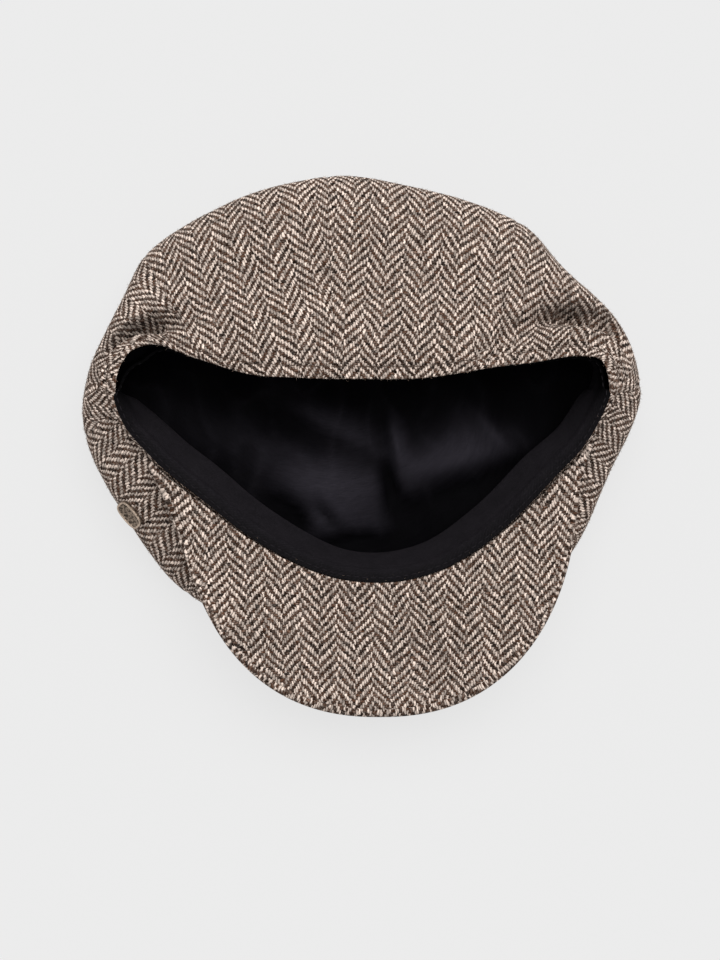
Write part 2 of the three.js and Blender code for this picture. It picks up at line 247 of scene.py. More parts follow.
# Sweatband, by degrees round the rim: tuck is how far inside the rim it hangs, drop how far below the rim
# it starts, and lean how far its lower edge comes in
BAND_WIDTH = 30
BAND_CLOTH = 1.2
BAND_COLUMNS = 300
BAND_ROWS = 20
Hang = namedtuple("Hang", "deg tuck drop lean")
BAND_HANG = [
    Hang(0, 1.6, 4.0, 5),
    Hang(16, 0.8, 10.0, -1),
    Hang(90, -2.0, 9.0, -4),
    Hang(140, 0.0, 12.0, -3),
    Hang(157, 6.2, 13.0, -3),
    Hang(171, 2.8, 11.0, -3),
    Hang(180, 1.6, 7.0, -3),
    Hang(188, 2.4, 2.0, 4),
    Hang(200, 2.6, 1.2, 9.5),
    Hang(225, 2.6, 1.0, 12),
    Hang(270, 2.6, 1.0, 9.5),
    Hang(315, 2.6, 1.0, 12),
    Hang(334, 2.6, 1.2, 10),
    Hang(347, 2.4, 1.8, 8.5),
    Hang(360, 1.6, 4.0, 5),
]
BAND_WAVE = Lump(30, 2.0, 0.8, 1)
BAND_WAVE_START = 0.3
BAND_STITCH_SHARE = 0.2
BAND_STITCH_LEAN = 0.4
BAND_STITCH_STATIONS = 360
BAND_TURN_DOWN = 0.22
BAND_TURN_ROWS = 8
BAND_TURN_OVER = 0.7
BAND_TURN_UP = 0.6
BAND_TURN_FADE = (-0.04, 0.1)

# Painted shade on the sweatband: full colour at the front, painted darker along its top edge by the rim,
# where its stitches run, and at the back
BAND_FRONT_FADE = (-0.45, -0.02)
BAND_EDGE_SHADE_TONE = 0.3
BAND_EDGE_SHADE_FADE = (0.15, 0.8)
BAND_BACK_TONE = 0.6
BAND_BACK_FULL = 0.6

# Peak
PEAK_LEFT_DEG = 212.5
PEAK_RIGHT_DEG = 334.5
PEAK_MIDDLE_X = 8.4
PEAK_MIDDLE_Y = -11.2
PEAK_HALF_WIDTH = 95.4
PEAK_REACH = 120.7
PEAK_ROUNDNESS = 2.3
PEAK_LEFT_FLARE = 14.5
PEAK_FLARE_FADE = 6
PEAK_END_Z = 47
PEAK_TIP_Z = 30
PEAK_SAG = 2
PEAK_SEAM_CLEAR = 1.0
PEAK_END_CLEAR = 3.2
PEAK_SEAM_SHARE = 0.35
PEAK_FULL_STATION = 0.16
PEAK_HALF_THICKNESS = 2.0
PEAK_THICKEST_SHARE = 0.25
PEAK_LIP = 2.6
PEAK_LIP_END = 0.8
PEAK_LIP_FADE = (0.02, 0.2)
PEAK_LIP_WIDEST_SHARE = 0.3
PEAK_LIP_SINK = 0.6
PEAK_UNDER_TUCK = 0.8
PEAK_DIP = 0.9
PEAK_DIP_FADE = (-1.6, 0.4)
PEAK_CREST = 0.35
PEAK_CREST_AT = 3.5
PEAK_CREST_REACH = 2.5
PEAK_SWELL = Lump(28, 4.0, 0.35, 1)
PEAK_SWELL_FADE = 0.2
PEAK_CLOTH_SHIFT = 3.2
PEAK_COLUMNS = 220
PEAK_ROWS = 60
PEAK_ROW_CROWDING = 0.1
PEAK_EDGE_ROWS = 10
PEAK_LIP_ROWS = 6
Section = namedtuple("Section", "s down start run")

# Badge
BADGE_GORE = 4
BADGE_ACROSS = 0.5
BADGE_ALONG = 0.4
BADGE_LENGTH = 15
BADGE_WIDTH = 9.0
BADGE_THICKNESS = 1.8
BADGE_ROUNDNESS = 3
BADGE_CLEAR = 0.5
BADGE_LEAN = -5
BADGE_SIDES = 48
BADGE_BEVEL = 0.5
BADGE_BEVEL_STEPS = 3
BADGE_BORDER = 0.4
BADGE_RECESS = 0.6
BADGE_RECESS_SLOPE = 0.3
BADGE_FIELD_EDGE = 0.9
BADGE_RUBBED_FROM = 0.8

# Stray wool fibres that stand off the tweed
FIBRES_PER_MM2 = 0.12
FIBRE_SHORTEST = 0.7
FIBRE_LONGEST = 2.0
FIBRE_RADIUS = 0.06
FIBRE_TAPER = 0.8
FIBRE_BEND_AT = 0.55
FIBRE_RISE = (0.2, 1.0)
FIBRE_CURL = 0.5
FIBRE_JITTER = 0.6
FIBRE_FLOOR_CLEAR = 2.0
FIBRE_SEED = 11

# Cloth edges and stitches
SEWN_WITHIN = 1e-6
TOO_SHORT = 1e-7
EDGE_SOFTNESS = 0.3
SHARP_EDGE_DEG = 60
STITCH_SIDES = 6

# Woven looks: how yarns stray, bow and differ in tone, the shade painted between them, and their loose fibres
WANDER_SIZE = 1.6
DRIFT_SIZE = 28.0
YARN_ROUND = 2.0
FLOAT_ROUND = 2.3
FLOAT_BOW = 0.75
FLOAT_TONE = 0.8
SLUB_TONE = 2.0
SLUB_APART = 3.7
SLUB_RUN = 0.16
GAP_POWER = 0.6
GAP_TONE = 0.16
YARN_TONE = 0.86
GRAIN_TONE = 0.45
GRAIN_GAIN = 1.1
GRAIN_RELIEF = 0.35
LOOSE_SCALE = 0.6
LOOSE_RANGE = (0.42, 0.68)
LOOSE_APART = (71.0, 37.0, 5.0)

# Other looks: specks and grain are counted per metre
THREAD_TWIST = 3500.0
BRASS_SPECKS = 900.0
BRASS_SPECK_RANGE = (0.42, 0.62)
BRASS_SPECK_TONE = 0.55
BRASS_EDGE_TONE = 0.4
BRASS_DULL = 0.7
BRASS_POLISHED = 0.32
BRASS_GRAIN = 1100.0
PAPER_GRAIN = 900.0

# Stage
FLOOR_DROP = 0.3
FLOOR_TONE = 0.12
FLOOR_GRAIN_TONE = 0.125
FLOOR_GLOW = 0.872
FILM_HEIGHT = 36


# Tables and curves


def through(rows, key, column, at):
    """Monotone cubic through two columns of a table, read at an array of places."""
    at = np.asarray(at, float)
    x = np.array([getattr(row, key) for row in rows], float)
    y = np.array([getattr(row, column) for row in rows], float)
    slope = np.diff(y) / np.diff(x)
    before, after = slope[:-1], slope[1:]
    same = before * after > 0
    middle = np.where(same, 2 * before * after / np.where(same, before + after, 1), 0)
    tangent = np.concatenate((slope[:1], middle, slope[-1:]))
    i = np.clip(np.searchsorted(x, at, side="right") - 1, 0, len(x) - 2)
    span = x[i + 1] - x[i]
    t = (at - x[i]) / span
    u = 1 - t
    return (
        (1 + 2 * t) * u * u * y[i]
        + t * u * u * span * tangent[i]
        + t * t * (3 - 2 * t) * y[i + 1]
        - t * t * u * span * tangent[i + 1]
    )


def smooth(x, low=0.0, high=1.0):
    t = np.clip((np.asarray(x, float) - low) / (high - low), 0, 1)
    return t * t * (3 - 2 * t)


def bell(x, reach):
    return np.exp(-((x / reach) ** 2))


def mix(a, b, share):
    return a + (b - a) * share


def unit(vectors):
    return vectors / np.linalg.norm(vectors, axis=-1, keepdims=True)


def lengths_along(points, axis):
    """Running length of a grid of points along one of its axes, from 0."""
    steps = np.linalg.norm(np.diff(points, axis=axis), axis=-1)
    first = np.zeros_like(np.take(steps, [0], axis=axis))
    return np.concatenate((first, np.cumsum(steps, axis=axis)), axis=axis)


def soft_noise(points, size, seed):
    """Smooth noise from -1 to 1 at points in millimetres, with lumps of about the given size."""
    flat = points.reshape(-1, 3) / size + seed
    values = np.array([noise.noise(Vector(p)) for p in flat])
    return values.reshape(points.shape[:-1])


def lump_noise(points, lump):
    return soft_noise(points * (1, lump.y_scale, 1), lump.size, lump.seed)


def lumps(points, rows):
    """Sum of several sizes of smooth noise, each by its share."""
    return sum(row.share * lump_noise(points, row) for row in rows)


# Crown surface


def ring_point(deg, v):
    """Point of the ring at v, before the seams and dents shape it."""
    angle = np.radians(deg)
    sin = np.sin(angle)
    behind = sin > 0
    lift = through(RINGS, "v", "lift", v)
    back = (through(RINGS, "v", "back", v) + lift) * sin - lift * sin**3
    front = -through(RINGS, "v", "front", v) * np.abs(sin) ** through(RINGS, "v", "power", v)
    z_side = through(RINGS, "v", "z_side", v)
    z_end = np.where(behind, through(RINGS, "v", "z_back", v), through(RINGS, "v", "z_front", v))
    x = through(RINGS, "v", "half_width", v) * np.cos(angle)
    sag = through(RIM_SAG, "deg", "shift", deg % 360) * (1 - smooth(v, 0, RIM_SAG_FADE))
    y = through(RINGS, "v", "widest_y", v) + np.where(behind, back, front) + sag
    return np.stack((x, y, z_side + (z_end - z_side) * sin**2), axis=-1)


def rim_point(deg):
    return ring_point(deg, 0 * deg)


def seam_deg(index, v):
    """Angle of a seam at v; an index past the last seam goes on into the next turn."""
    turn, k = divmod(index, len(SEAMS))
    way = [
        Way(0, SEAMS[k].rim_deg),
        Way(EQUATOR, SEAMS[k].equator_deg),
        Way(1, 360 * k / len(SEAMS)),
    ]
    return through(way, "v", "deg", v) + 360 * turn


def gore_deg(gore, across, v):
    return mix(seam_deg(gore, v), seam_deg(gore + 1, v), across)


def gore_point(gore, across, v):
    """Point of a gore, shaped by its two seams."""
    point = ring_point(gore_deg(gore, across, v), v)
    here, after = SEAMS[gore], SEAMS[(gore + 1) % len(SEAMS)]
    reach = mix(here.reach, after.reach, smooth(across))
    skew = math.log(0.5) / math.log(here.flattest)
    flat = here.chord * np.sin(np.pi * np.maximum(across, 0) ** skew) ** 2
    level = point - (0, CROWN_MIDDLE_Y, 0)
    level[..., 2] = 0
    return point + unit(level) * ((reach - flat) * through(FULLNESS, "v", "share", v))[..., None]


def gore_width(gore, v):
    return np.linalg.norm(gore_point(gore, 1.0, v) - gore_point(gore, 0.0, v), axis=-1)


def gore_normal(gore, across, v):
    step = 1e-3
    along = gore_point(gore, across, np.minimum(v + step, 1 - step))
    along = along - gore_point(gore, across, np.maximum(v - step, 0))
    around = gore_point(gore, across + step, v) - gore_point(gore, across - step, v)
    return unit(np.cross(along, around))


def dent_depth(deg, v, slack=1.0, rows=DENTS):
    """Depth of the dents at a place; a cloth with slack lies wider over them and follows no swells."""
    depth = 0
    for dent in rows:
        turn = (deg - dent.deg + 180) % 360 - 180
        aside = v - dent.v - dent.slant * turn
        here = dent.depth * bell(turn, slack * dent.reach_deg) * bell(aside, slack * dent.reach_v)
        depth = depth + (np.maximum(here, 0) if slack > 1 else here)
    return depth


def crown_point(gore, across, v, inset, slack=1.0):
    """Point of the crown with its dents, inset from its outer face."""
    depth = inset + dent_depth(gore_deg(gore, across, v), v, slack)
    return gore_point(gore, across, v) - gore_normal(gore, across, v) * np.asarray(depth)[..., None]


def rim_distance(gore, across, v):
    return np.linalg.norm(gore_point(gore, across, v) - gore_point(gore, across, 0 * v), axis=-1)


def gore_relief(gore, across, v, cloth):
    """How far the sewn cloth stands out: low along its seams and its hem stitches, full between them."""
    width = gore_width(gore, v)
    seams = bell(across * width, SEAM_REACH) + bell((1 - across) * width, SEAM_REACH)
    rim = rim_distance(gore, across, v)
    sewn = cloth.hem / MM
    hem = HEM_SWELL * bell(rim - 0.5 * sewn, HEM_SWELL_REACH) - bell(rim - sewn, HEM_STITCH_REACH)
    slack = 1 - smooth(v, EQUATOR, FLOOR_EDGE)
    ripple = lumps(gore_point(gore, across, v), RIPPLES)
    return cloth.hem_sink / MM * hem - cloth.seam_sink / MM * seams + cloth.ripple / MM * ripple * slack


def gore_cloth_point(gore, across, v, cloth, out=0.0):
    """Point of the dressed crown, out from its outer face by a given height."""
    return crown_point(gore, across, v, -gore_relief(gore, across, v, cloth) - out)


# Meshes


def link(obj):
    bpy.context.scene.collection.objects.link(obj)
    return obj


def finish_mesh(bm, name, material):
    for face in bm.faces:
        face.smooth = True
    mesh = bpy.data.meshes.new(name)
    bm.to_mesh(mesh)
    bm.free()
    mesh.materials.append(material)
    return link(bpy.data.objects.new(name, mesh))


def cloth_sheet(name, points, flat, raised, thickness, material, ring=False, turned=False):
    """Sheet of cloth from a flat grid laid onto rows of points.

    flat places each point on the flat cloth in millimetres, and raised is the share of light that its
    material paints into its colour there, as painted light and shade. A ring's first and last columns are
    sewn together, and the thickness goes behind the face.
    """
    rows, columns = points.shape[:2]
    bm = bmesh.new()
    bmesh.ops.create_grid(bm, x_segments=columns - 1, y_segments=rows - 1, size=1.0)
    cloth_map = bm.loops.layers.uv.new(CLOTH_MAP)
    lit = bm.verts.layers.float.new(PAINTED_LIGHT)
    place = {}
    for vert in bm.verts:
        column = round((vert.co.x + 1) / 2 * (columns - 1))
        row = round((vert.co.y + 1) / 2 * (rows - 1))
        place[vert] = (row, column)
    for face in bm.faces:
        for loop in face.loops:
            loop[cloth_map].uv = flat[place[loop.vert]]
    for vert, spot in place.items():
        vert.co = points[spot] * MM
        vert[lit] = raised[spot]
    if ring:
        bmesh.ops.remove_doubles(bm, verts=bm.verts, dist=SEWN_WITHIN)
        bmesh.ops.dissolve_degenerate(bm, edges=bm.edges, dist=TOO_SHORT)
    if turned:
        bmesh.ops.reverse_faces(bm, faces=bm.faces)
    sheet = finish_mesh(bm, name, material)
    wall = sheet.modifiers.new("cloth thickness", "SOLIDIFY")
    wall.thickness = thickness
    wall.offset = -1
    edge = sheet.modifiers.new("soft edge", "BEVEL")
    edge.width = EDGE_SOFTNESS * thickness
    edge.segments = 2
    edge.limit_method = "ANGLE"
    edge.angle_limit = math.radians(SHARP_EDGE_DEG)
    return sheet


def declare_sheet(sheet, node):
    """Attach a sheet to the cap's body and hide the solid that it stands for."""
    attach(sheet, "root")
    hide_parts(node)


def stitch_row(name, points, outward, cloth, material):
    """Row of sewn stitches along points in millimetres, with the directions out of the cloth."""
    length, gap, radius = cloth.stitch / MM, cloth.stitch_gap / MM, cloth.thread / MM / 2
    size = Matrix.Diagonal((length / 2 * MM, radius * MM, radius * MM, 1))
    run = lengths_along(points, 0)
    bm = bmesh.new()
    for start in np.arange(gap, run[-1] - length, length + gap):
        ends = [start, start + length]
        head, tail = (np.array([np.interp(e, run, points[:, k]) for k in range(3)]) for e in ends)
        up = Vector([np.interp(start + length / 2, run, outward[:, k]) for k in range(3)]).normalized()
        along = Vector(tail - head).normalized()
        side = up.cross(along).normalized()
        turn = Matrix((along, side, along.cross(side))).transposed().to_4x4()
        middle = Matrix.Translation(Vector((head + tail) / 2 * MM))
        lay = middle @ turn @ size @ Matrix.Rotation(math.pi / 2, 4, "Y")
        bmesh.ops.create_uvsphere(
            bm, u_segments=STITCH_SIDES, v_segments=STITCH_SIDES, radius=1.0, matrix=lay
        )
    return finish_mesh(bm, name, material)


# Shader nodes


def feed(tree, socket, value):
    if isinstance(value, bpy.types.NodeSocket):
        tree.links.new(value, socket)
    else:
        socket.default_value = value


def add_node(tree, kind, inputs=(), **settings):
    node = tree.nodes.new(kind)
    for name, value in settings.items():
        setattr(node, name, value)
    for key, value in dict(inputs).items():
        feed(tree, node.inputs[key], value)
    return node


def calc(tree, operation, *values):
    node = add_node(tree, "ShaderNodeMath", operation=operation)
    for socket, value in zip(node.inputs, values):
        feed(tree, socket, value)
    return node.outputs[0]


def vector_calc(tree, operation, a, b):
    return add_node(tree, "ShaderNodeVectorMath", {0: a, 1: b}, operation=operation).outputs[0]


def mix_colour(tree, share, a, b, blend="MIX"):
    node = add_node(tree, "ShaderNodeMix", data_type="RGBA", blend_type=blend)
    feed(tree, node.inputs[0], share)
    feed(tree, node.inputs[6], a)
    feed(tree, node.inputs[7], b)
    return node.outputs[2]


def mix_value(tree, share, a, b):
    node = add_node(tree, "ShaderNodeMix", data_type="FLOAT")
    feed(tree, node.inputs[0], share)
    feed(tree, node.inputs[2], a)
    feed(tree, node.inputs[3], b)
    return node.outputs[0]


def vector_of(tree, x, y, z=0.0):
    node = add_node(tree, "ShaderNodeCombineXYZ")
    for socket, value in zip(node.inputs, (x, y, z)):
        feed(tree, socket, value)
    return node.outputs[0]


def noise_of(tree, vector, scale, detail=2.0):
    return add_node(tree, "ShaderNodeTexNoise", {"Vector": vector, "Scale": scale, "Detail": detail})


def object_place(tree):
    return add_node(tree, "ShaderNodeTexCoord").outputs["Object"]


def arch(tree, x, power):
    """Hump that is 1 in the middle of 0 to 1 and 0 at both ends."""
    off = calc(tree, "ABSOLUTE", calc(tree, "MULTIPLY_ADD", x, 2.0, -1.0))
    return calc(tree, "SUBTRACT", 1.0, calc(tree, "POWER", off, power))


def new_group(name, inputs, outputs):
    """Empty shader group with named sockets: inputs maps a name to its kind and default."""
    group = bpy.data.node_groups.new(name, "ShaderNodeTree")
    for label, (kind, default) in inputs.items():
        socket = group.interface.new_socket(label, in_out="INPUT", socket_type=kind)
        if default is not None:
            socket.default_value = default
    for label, kind in outputs.items():
        group.interface.new_socket(label, in_out="OUTPUT", socket_type=kind)
    return group, add_node(group, "NodeGroupInput"), add_node(group, "NodeGroupOutput")


def weave_group():
    """Woven yarns on flat cloth in millimetres: which yarn shows, how high it stands and its own tone.

    Float is how many yarns each one passes over. The twill turns back after Column Ends warp ends and is cut
    there by Break picks, which makes herringbone. Wander and Drift move the yarns out of line.
    """
    name = "yarn weave"
    if name in bpy.data.node_groups:
        return bpy.data.node_groups[name]
    number = "NodeSocketFloat"
    tree, given, out = new_group(
        name,
        {
            "Cloth": ("NodeSocketVector", None),
            "End Pitch": (number, 1.1),
            "Pick Pitch": (number, 1.2),
            "Float": (number, 2.0),
            "Column Ends": (number, 8.0),
            "Break": (number, 2.0),
            "Wander": (number, 0.3),
            "Drift": (number, 1.0),
        },
        {"Warp": number, "Height": number, "Tone": number},
    )
    get = given.outputs

    # Warp ends and weft picks, moved out of line
    cloth = get["Cloth"]
    for size, amount in ((WANDER_SIZE, "Wander"), (DRIFT_SIZE, "Drift")):
        stray = noise_of(tree, get["Cloth"], 1 / size).outputs["Color"]
        stray = vector_calc(tree, "SUBTRACT", stray, (0.5, 0.5, 0.5))
        stray = add_node(tree, "ShaderNodeVectorMath", {0: stray, "Scale": get[amount]}, operation="SCALE")
        cloth = vector_calc(tree, "ADD", cloth, stray.outputs[0])
    split = add_node(tree, "ShaderNodeSeparateXYZ", {0: cloth})
    x = calc(tree, "DIVIDE", split.outputs[0], get["End Pitch"])
    y = calc(tree, "DIVIDE", split.outputs[1], get["Pick Pitch"])
    end, pick = calc(tree, "FLOOR", x), calc(tree, "FLOOR", y)
    over_end, over_pick = calc(tree, "FRACT", x), calc(tree, "FRACT", y)

    # Which of the two yarns lies on top
    repeat = calc(tree, "MULTIPLY", get["Column Ends"], 2.0)
    place = calc(tree, "FLOORED_MODULO", end, repeat)
    back = calc(tree, "SUBTRACT", calc(tree, "SUBTRACT", repeat, 1.0), place)
    rising = calc(tree, "LESS_THAN", place, get["Column Ends"])
    step = mix_value(tree, rising, calc(tree, "ADD", back, get["Break"]), place)
    cycle = calc(tree, "MULTIPLY", get["Float"], 2.0)
    climb = calc(tree, "SUBTRACT", pick, step)
    turn = calc(tree, "FLOORED_MODULO", climb, cycle)
    warp = calc(tree, "LESS_THAN", turn, calc(tree, "SUBTRACT", get["Float"], 0.5))

    # How high it stands, by its round section and its bow from end to end
    warp_along = calc(tree, "DIVIDE", calc(tree, "ADD", turn, over_pick), get["Float"])
    late = calc(tree, "SUBTRACT", turn, get["Float"])
    early = calc(tree, "SUBTRACT", calc(tree, "SUBTRACT", get["Float"], 1.0), late)
    weft_step = mix_value(tree, rising, late, early)
    weft_along = calc(tree, "DIVIDE", calc(tree, "ADD", weft_step, over_end), get["Float"])
    heights = []
    for over, along in ((over_pick, weft_along), (over_end, warp_along)):
        bow = calc(tree, "MULTIPLY_ADD", arch(tree, along, FLOAT_ROUND), FLOAT_BOW, 1 - FLOAT_BOW)
        heights.append(calc(tree, "MULTIPLY", arch(tree, over, YARN_ROUND), bow))
    height = mix_value(tree, warp, *heights)

    # Its own tone
    yarn = mix_value(tree, warp, pick, end)
    float_spot = vector_of(tree, yarn, calc(tree, "FLOOR", calc(tree, "DIVIDE", climb, cycle)), warp)
    own = add_node(tree, "ShaderNodeTexWhiteNoise", {"Vector": float_spot}, noise_dimensions="3D").outputs[0]
    run = mix_value(tree, warp, split.outputs[0], split.outputs[1])
    apart, run = calc(tree, "MULTIPLY", yarn, SLUB_APART), calc(tree, "MULTIPLY", run, SLUB_RUN)
    slub = noise_of(tree, vector_of(tree, apart, run, warp), scale=1.0, detail=3.0).outputs[0]
    tone = calc(tree, "MULTIPLY_ADD", calc(tree, "SUBTRACT", slub, 0.5), SLUB_TONE, 0.5)
    tone = calc(tree, "MULTIPLY_ADD", calc(tree, "SUBTRACT", own, 0.5), FLOAT_TONE, tone)
    tone = add_node(tree, "ShaderNodeClamp", {0: tone}).outputs[0]
    feed(tree, out.inputs["Warp"], warp)
    feed(tree, out.inputs["Height"], height)
    feed(tree, out.inputs["Tone"], tone)
    return tree


def nap_group():
    """Nap of a cloth: a slow uneven shade, the grain of its fibres, and where loose ones cover the weave."""
    name = "cloth nap"
    if name in bpy.data.node_groups:
        return bpy.data.node_groups[name]
    number = "NodeSocketFloat"
    tree, given, out = new_group(
        name,
        {
            "Cloth": ("NodeSocketVector", None),
            "Patch Size": (number, 30.0),
            "Patch Depth": (number, 0.15),
            "Fibre Size": (number, 0.4),
        },
        {"Shade": number, "Fibre": number, "Loose": number},
    )
    get = given.outputs
    scale = calc(tree, "DIVIDE", 1.0, get["Patch Size"])
    patch = noise_of(tree, get["Cloth"], scale, detail=3.0).outputs[0]
    patch = calc(tree, "SUBTRACT", patch, 0.5)
    shade = calc(tree, "MULTIPLY_ADD", patch, calc(tree, "MULTIPLY", get["Patch Depth"], 2.0), 1.0)
    scale = calc(tree, "DIVIDE", 1.0, get["Fibre Size"])
    fibre = noise_of(tree, get["Cloth"], scale, detail=4.0).outputs[0]
    apart = vector_calc(tree, "ADD", get["Cloth"], LOOSE_APART)
    scale = calc(tree, "DIVIDE", LOOSE_SCALE, get["Fibre Size"])
    loose = noise_of(tree, apart, scale, detail=3.0).outputs[0]
    loose = add_node(
        tree,
        "ShaderNodeMapRange",
        {"Value": loose, "From Min": LOOSE_RANGE[0], "From Max": LOOSE_RANGE[1]},
        interpolation_type="SMOOTHSTEP",
    )
    feed(tree, out.inputs["Shade"], shade)
    feed(tree, out.inputs["Fibre"], fibre)
    feed(tree, out.inputs["Loose"], loose.outputs[0])
    return tree


def new_material(name, roughness, specular, sheen=0.0, metallic=0.0):
    material = bpy.data.materials.new(name)
    material.use_nodes = True
    tree = material.node_tree
    shader = tree.nodes["Principled BSDF"]
    shader.inputs["Roughness"].default_value = roughness
    shader.inputs["Specular IOR Level"].default_value = specular
    shader.inputs["Sheen Weight"].default_value = sheen
    shader.inputs["Sheen Roughness"].default_value = 0.5
    shader.inputs["Metallic"].default_value = metallic
    return material, tree, shader


def bump(tree, shader, height, distance):
    node = add_node(tree, "ShaderNodeBump", {"Height": height, "Distance": distance})
    tree.links.new(node.outputs[0], shader.inputs["Normal"])


def rgba(colour, share=1.0):
    return (*(share * c for c in colour), 1.0)


def tones(colour, darkest, lightest):
    return rgba(colour, darkest), rgba(colour, lightest)


def woven_material(name, weave, nap, light, dark, roughness, specular, relief, low, sheen=0.0, hairy=0.0):
    """Woven cloth: light warp over dark weft, with shade painted between its yarns, and with nap and stray
    fibres.

    weave and nap set the inputs of those groups, light and dark each hold the darkest and the lightest tone
    of their yarn, and low is the share of its colour that the cloth keeps where its painted light is 0.
    """
    if name in bpy.data.materials:
        return bpy.data.materials[name]
    material, tree, shader = new_material(name, roughness, specular, sheen)
    flat = add_node(tree, "ShaderNodeUVMap", uv_map=CLOTH_MAP).outputs[0]
    yarns = add_node(tree, "ShaderNodeGroup", node_tree=weave_group())
    fuzz = add_node(tree, "ShaderNodeGroup", node_tree=nap_group())
    for node, values in ((yarns, weave), (fuzz, nap)):
        feed(tree, node.inputs["Cloth"], flat)
        for key, value in values.items():
            node.inputs[key].default_value = value
    tone = yarns.outputs["Tone"]
    light_yarn = mix_colour(tree, tone, *light)
    dark_yarn = mix_colour(tree, tone, *dark)
    colour = mix_colour(tree, yarns.outputs["Warp"], dark_yarn, light_yarn)
    stray = calc(tree, "MULTIPLY", fuzz.outputs["Loose"], hairy)
    colour = mix_colour(tree, stray, colour, mix_colour(tree, 0.5, dark_yarn, light_yarn))
    # Painted shade between the yarns, darker where they lie lower
    painted_gap_shade = calc(tree, "POWER", yarns.outputs["Height"], GAP_POWER)
    painted_gap_shade = calc(tree, "MULTIPLY_ADD", painted_gap_shade, YARN_TONE, GAP_TONE)
    grain = calc(tree, "MULTIPLY_ADD", fuzz.outputs["Fibre"], GRAIN_GAIN, GRAIN_TONE)
    shade = calc(tree, "MULTIPLY", calc(tree, "MULTIPLY", painted_gap_shade, grain), fuzz.outputs["Shade"])
    # Painted light and shade from the raised attribute: low is the share of colour kept where it is 0
    raised = add_node(tree, "ShaderNodeAttribute", attribute_name=PAINTED_LIGHT).outputs["Fac"]
    shade = calc(tree, "MULTIPLY", shade, calc(tree, "MULTIPLY_ADD", raised, 1 - low, low))
    shade = vector_of(tree, shade, shade, shade)
    colour = mix_colour(tree, 1.0, colour, shade, "MULTIPLY")
    tree.links.new(colour, shader.inputs["Base Color"])
    height = calc(tree, "MULTIPLY_ADD", fuzz.outputs["Fibre"], GRAIN_RELIEF, yarns.outputs["Height"])
    bump(tree, shader, height, relief)
    return material


def tweed_material(look):
    return woven_material(
        "herringbone tweed",
        {"End Pitch": 1.11, "Pick Pitch": 1.21, "Column Ends": 8.0, "Wander": 1.9, "Drift": 6.0},
        {"Patch Size": 26.0, "Patch Depth": 0.16, "Fibre Size": 0.45},
        tones(look.light_yarn, darkest=0.6, lightest=1.55),
        tones(look.dark_yarn, darkest=0.2, lightest=1.6),
        roughness=0.92,
        specular=0.06,
        relief=0.00045,
        low=0.0,
        sheen=0.02,
        hairy=0.42,
    )


def lining_material(look):
    return woven_material(
        "black lining",
        {"End Pitch": 0.32, "Pick Pitch": 0.34, "Float": 1.0, "Column Ends": 4000.0, "Wander": 0.2},
        {"Patch Size": 14.0, "Patch Depth": 0.25, "Fibre Size": 1.1},
        tones(look.lining, darkest=0.95, lightest=1.05),
        tones(look.lining, darkest=0.9, lightest=1.0),
        roughness=0.5,
        specular=0.012,
        relief=0.00003,
        low=0.09,
    )


def band_material(look):
    return woven_material(
        "black sweatband tape",
        {"End Pitch": 0.5, "Pick Pitch": 0.5, "Column Ends": 4000.0, "Wander": 0.25},
        {"Patch Size": 9.0, "Patch Depth": 0.3, "Fibre Size": 1.1},
        tones(look.band, darkest=0.9, lightest=1.3),
        tones(look.band, darkest=0.7, lightest=1.0),
        roughness=0.7,
        specular=0.05,
        relief=0.00008,
        low=0.12,
    )


def thread_material(name, colour):
    """Twisted sewing thread."""
    material, tree, shader = new_material(name, roughness=0.7, specular=0.08)
    twist = noise_of(tree, object_place(tree), THREAD_TWIST).outputs[0]
    tone = mix_colour(tree, twist, *tones(colour, darkest=0.6, lightest=1.3))
    tree.links.new(tone, shader.inputs["Base Color"])
    bump(tree, shader, twist, distance=0.0001)
    return material


def brass_material(look):
    """Antique brass: dark and speckled in the recess, rubbed bright on the high edges."""
    material, tree, shader = new_material("antique brass", roughness=0.4, specular=0.5, metallic=1.0)
    place = object_place(tree)
    edges = add_node(tree, "ShaderNodeAttribute", attribute_name=RUBBED).outputs["Fac"]
    spots = noise_of(tree, place, BRASS_SPECKS, detail=4.0).outputs[0]
    speckle = add_node(
        tree,
        "ShaderNodeMapRange",
        {
            "Value": spots,
            "From Min": BRASS_SPECK_RANGE[0],
            "From Max": BRASS_SPECK_RANGE[1],
            "To Max": BRASS_SPECK_TONE,
        },
    )
    edges = calc(tree, "MULTIPLY", edges, calc(tree, "ADD", spots, BRASS_EDGE_TONE))
    rubbed = calc(tree, "MAXIMUM", speckle.outputs[0], edges)
    colour = mix_colour(tree, rubbed, *tones(look.brass, darkest=0.13, lightest=1.0))
    tree.links.new(colour, shader.inputs["Base Color"])
    tree.links.new(mix_value(tree, rubbed, BRASS_DULL, BRASS_POLISHED), shader.inputs["Roughness"])
    bump(tree, shader, noise_of(tree, place, BRASS_GRAIN, detail=3.0).outputs[0], distance=0.0003)
    return material


def floor_material(look):
    """Pale matt paper, lit from below so that shadows on it stay faint."""
    material, tree, shader = new_material("pale studio paper", roughness=0.9, specular=0.1)
    grain = noise_of(tree, object_place(tree), PAPER_GRAIN, detail=3.0).outputs[0]
    tone = mix_colour(tree, grain, *tones(look.floor, FLOOR_TONE, FLOOR_GRAIN_TONE))
    tree.links.new(tone, shader.inputs["Base Color"])
    shader.inputs["Emission Color"].default_value = rgba(look.floor)
    shader.inputs["Emission Strength"].default_value = FLOOR_GLOW
    return material


# Settings


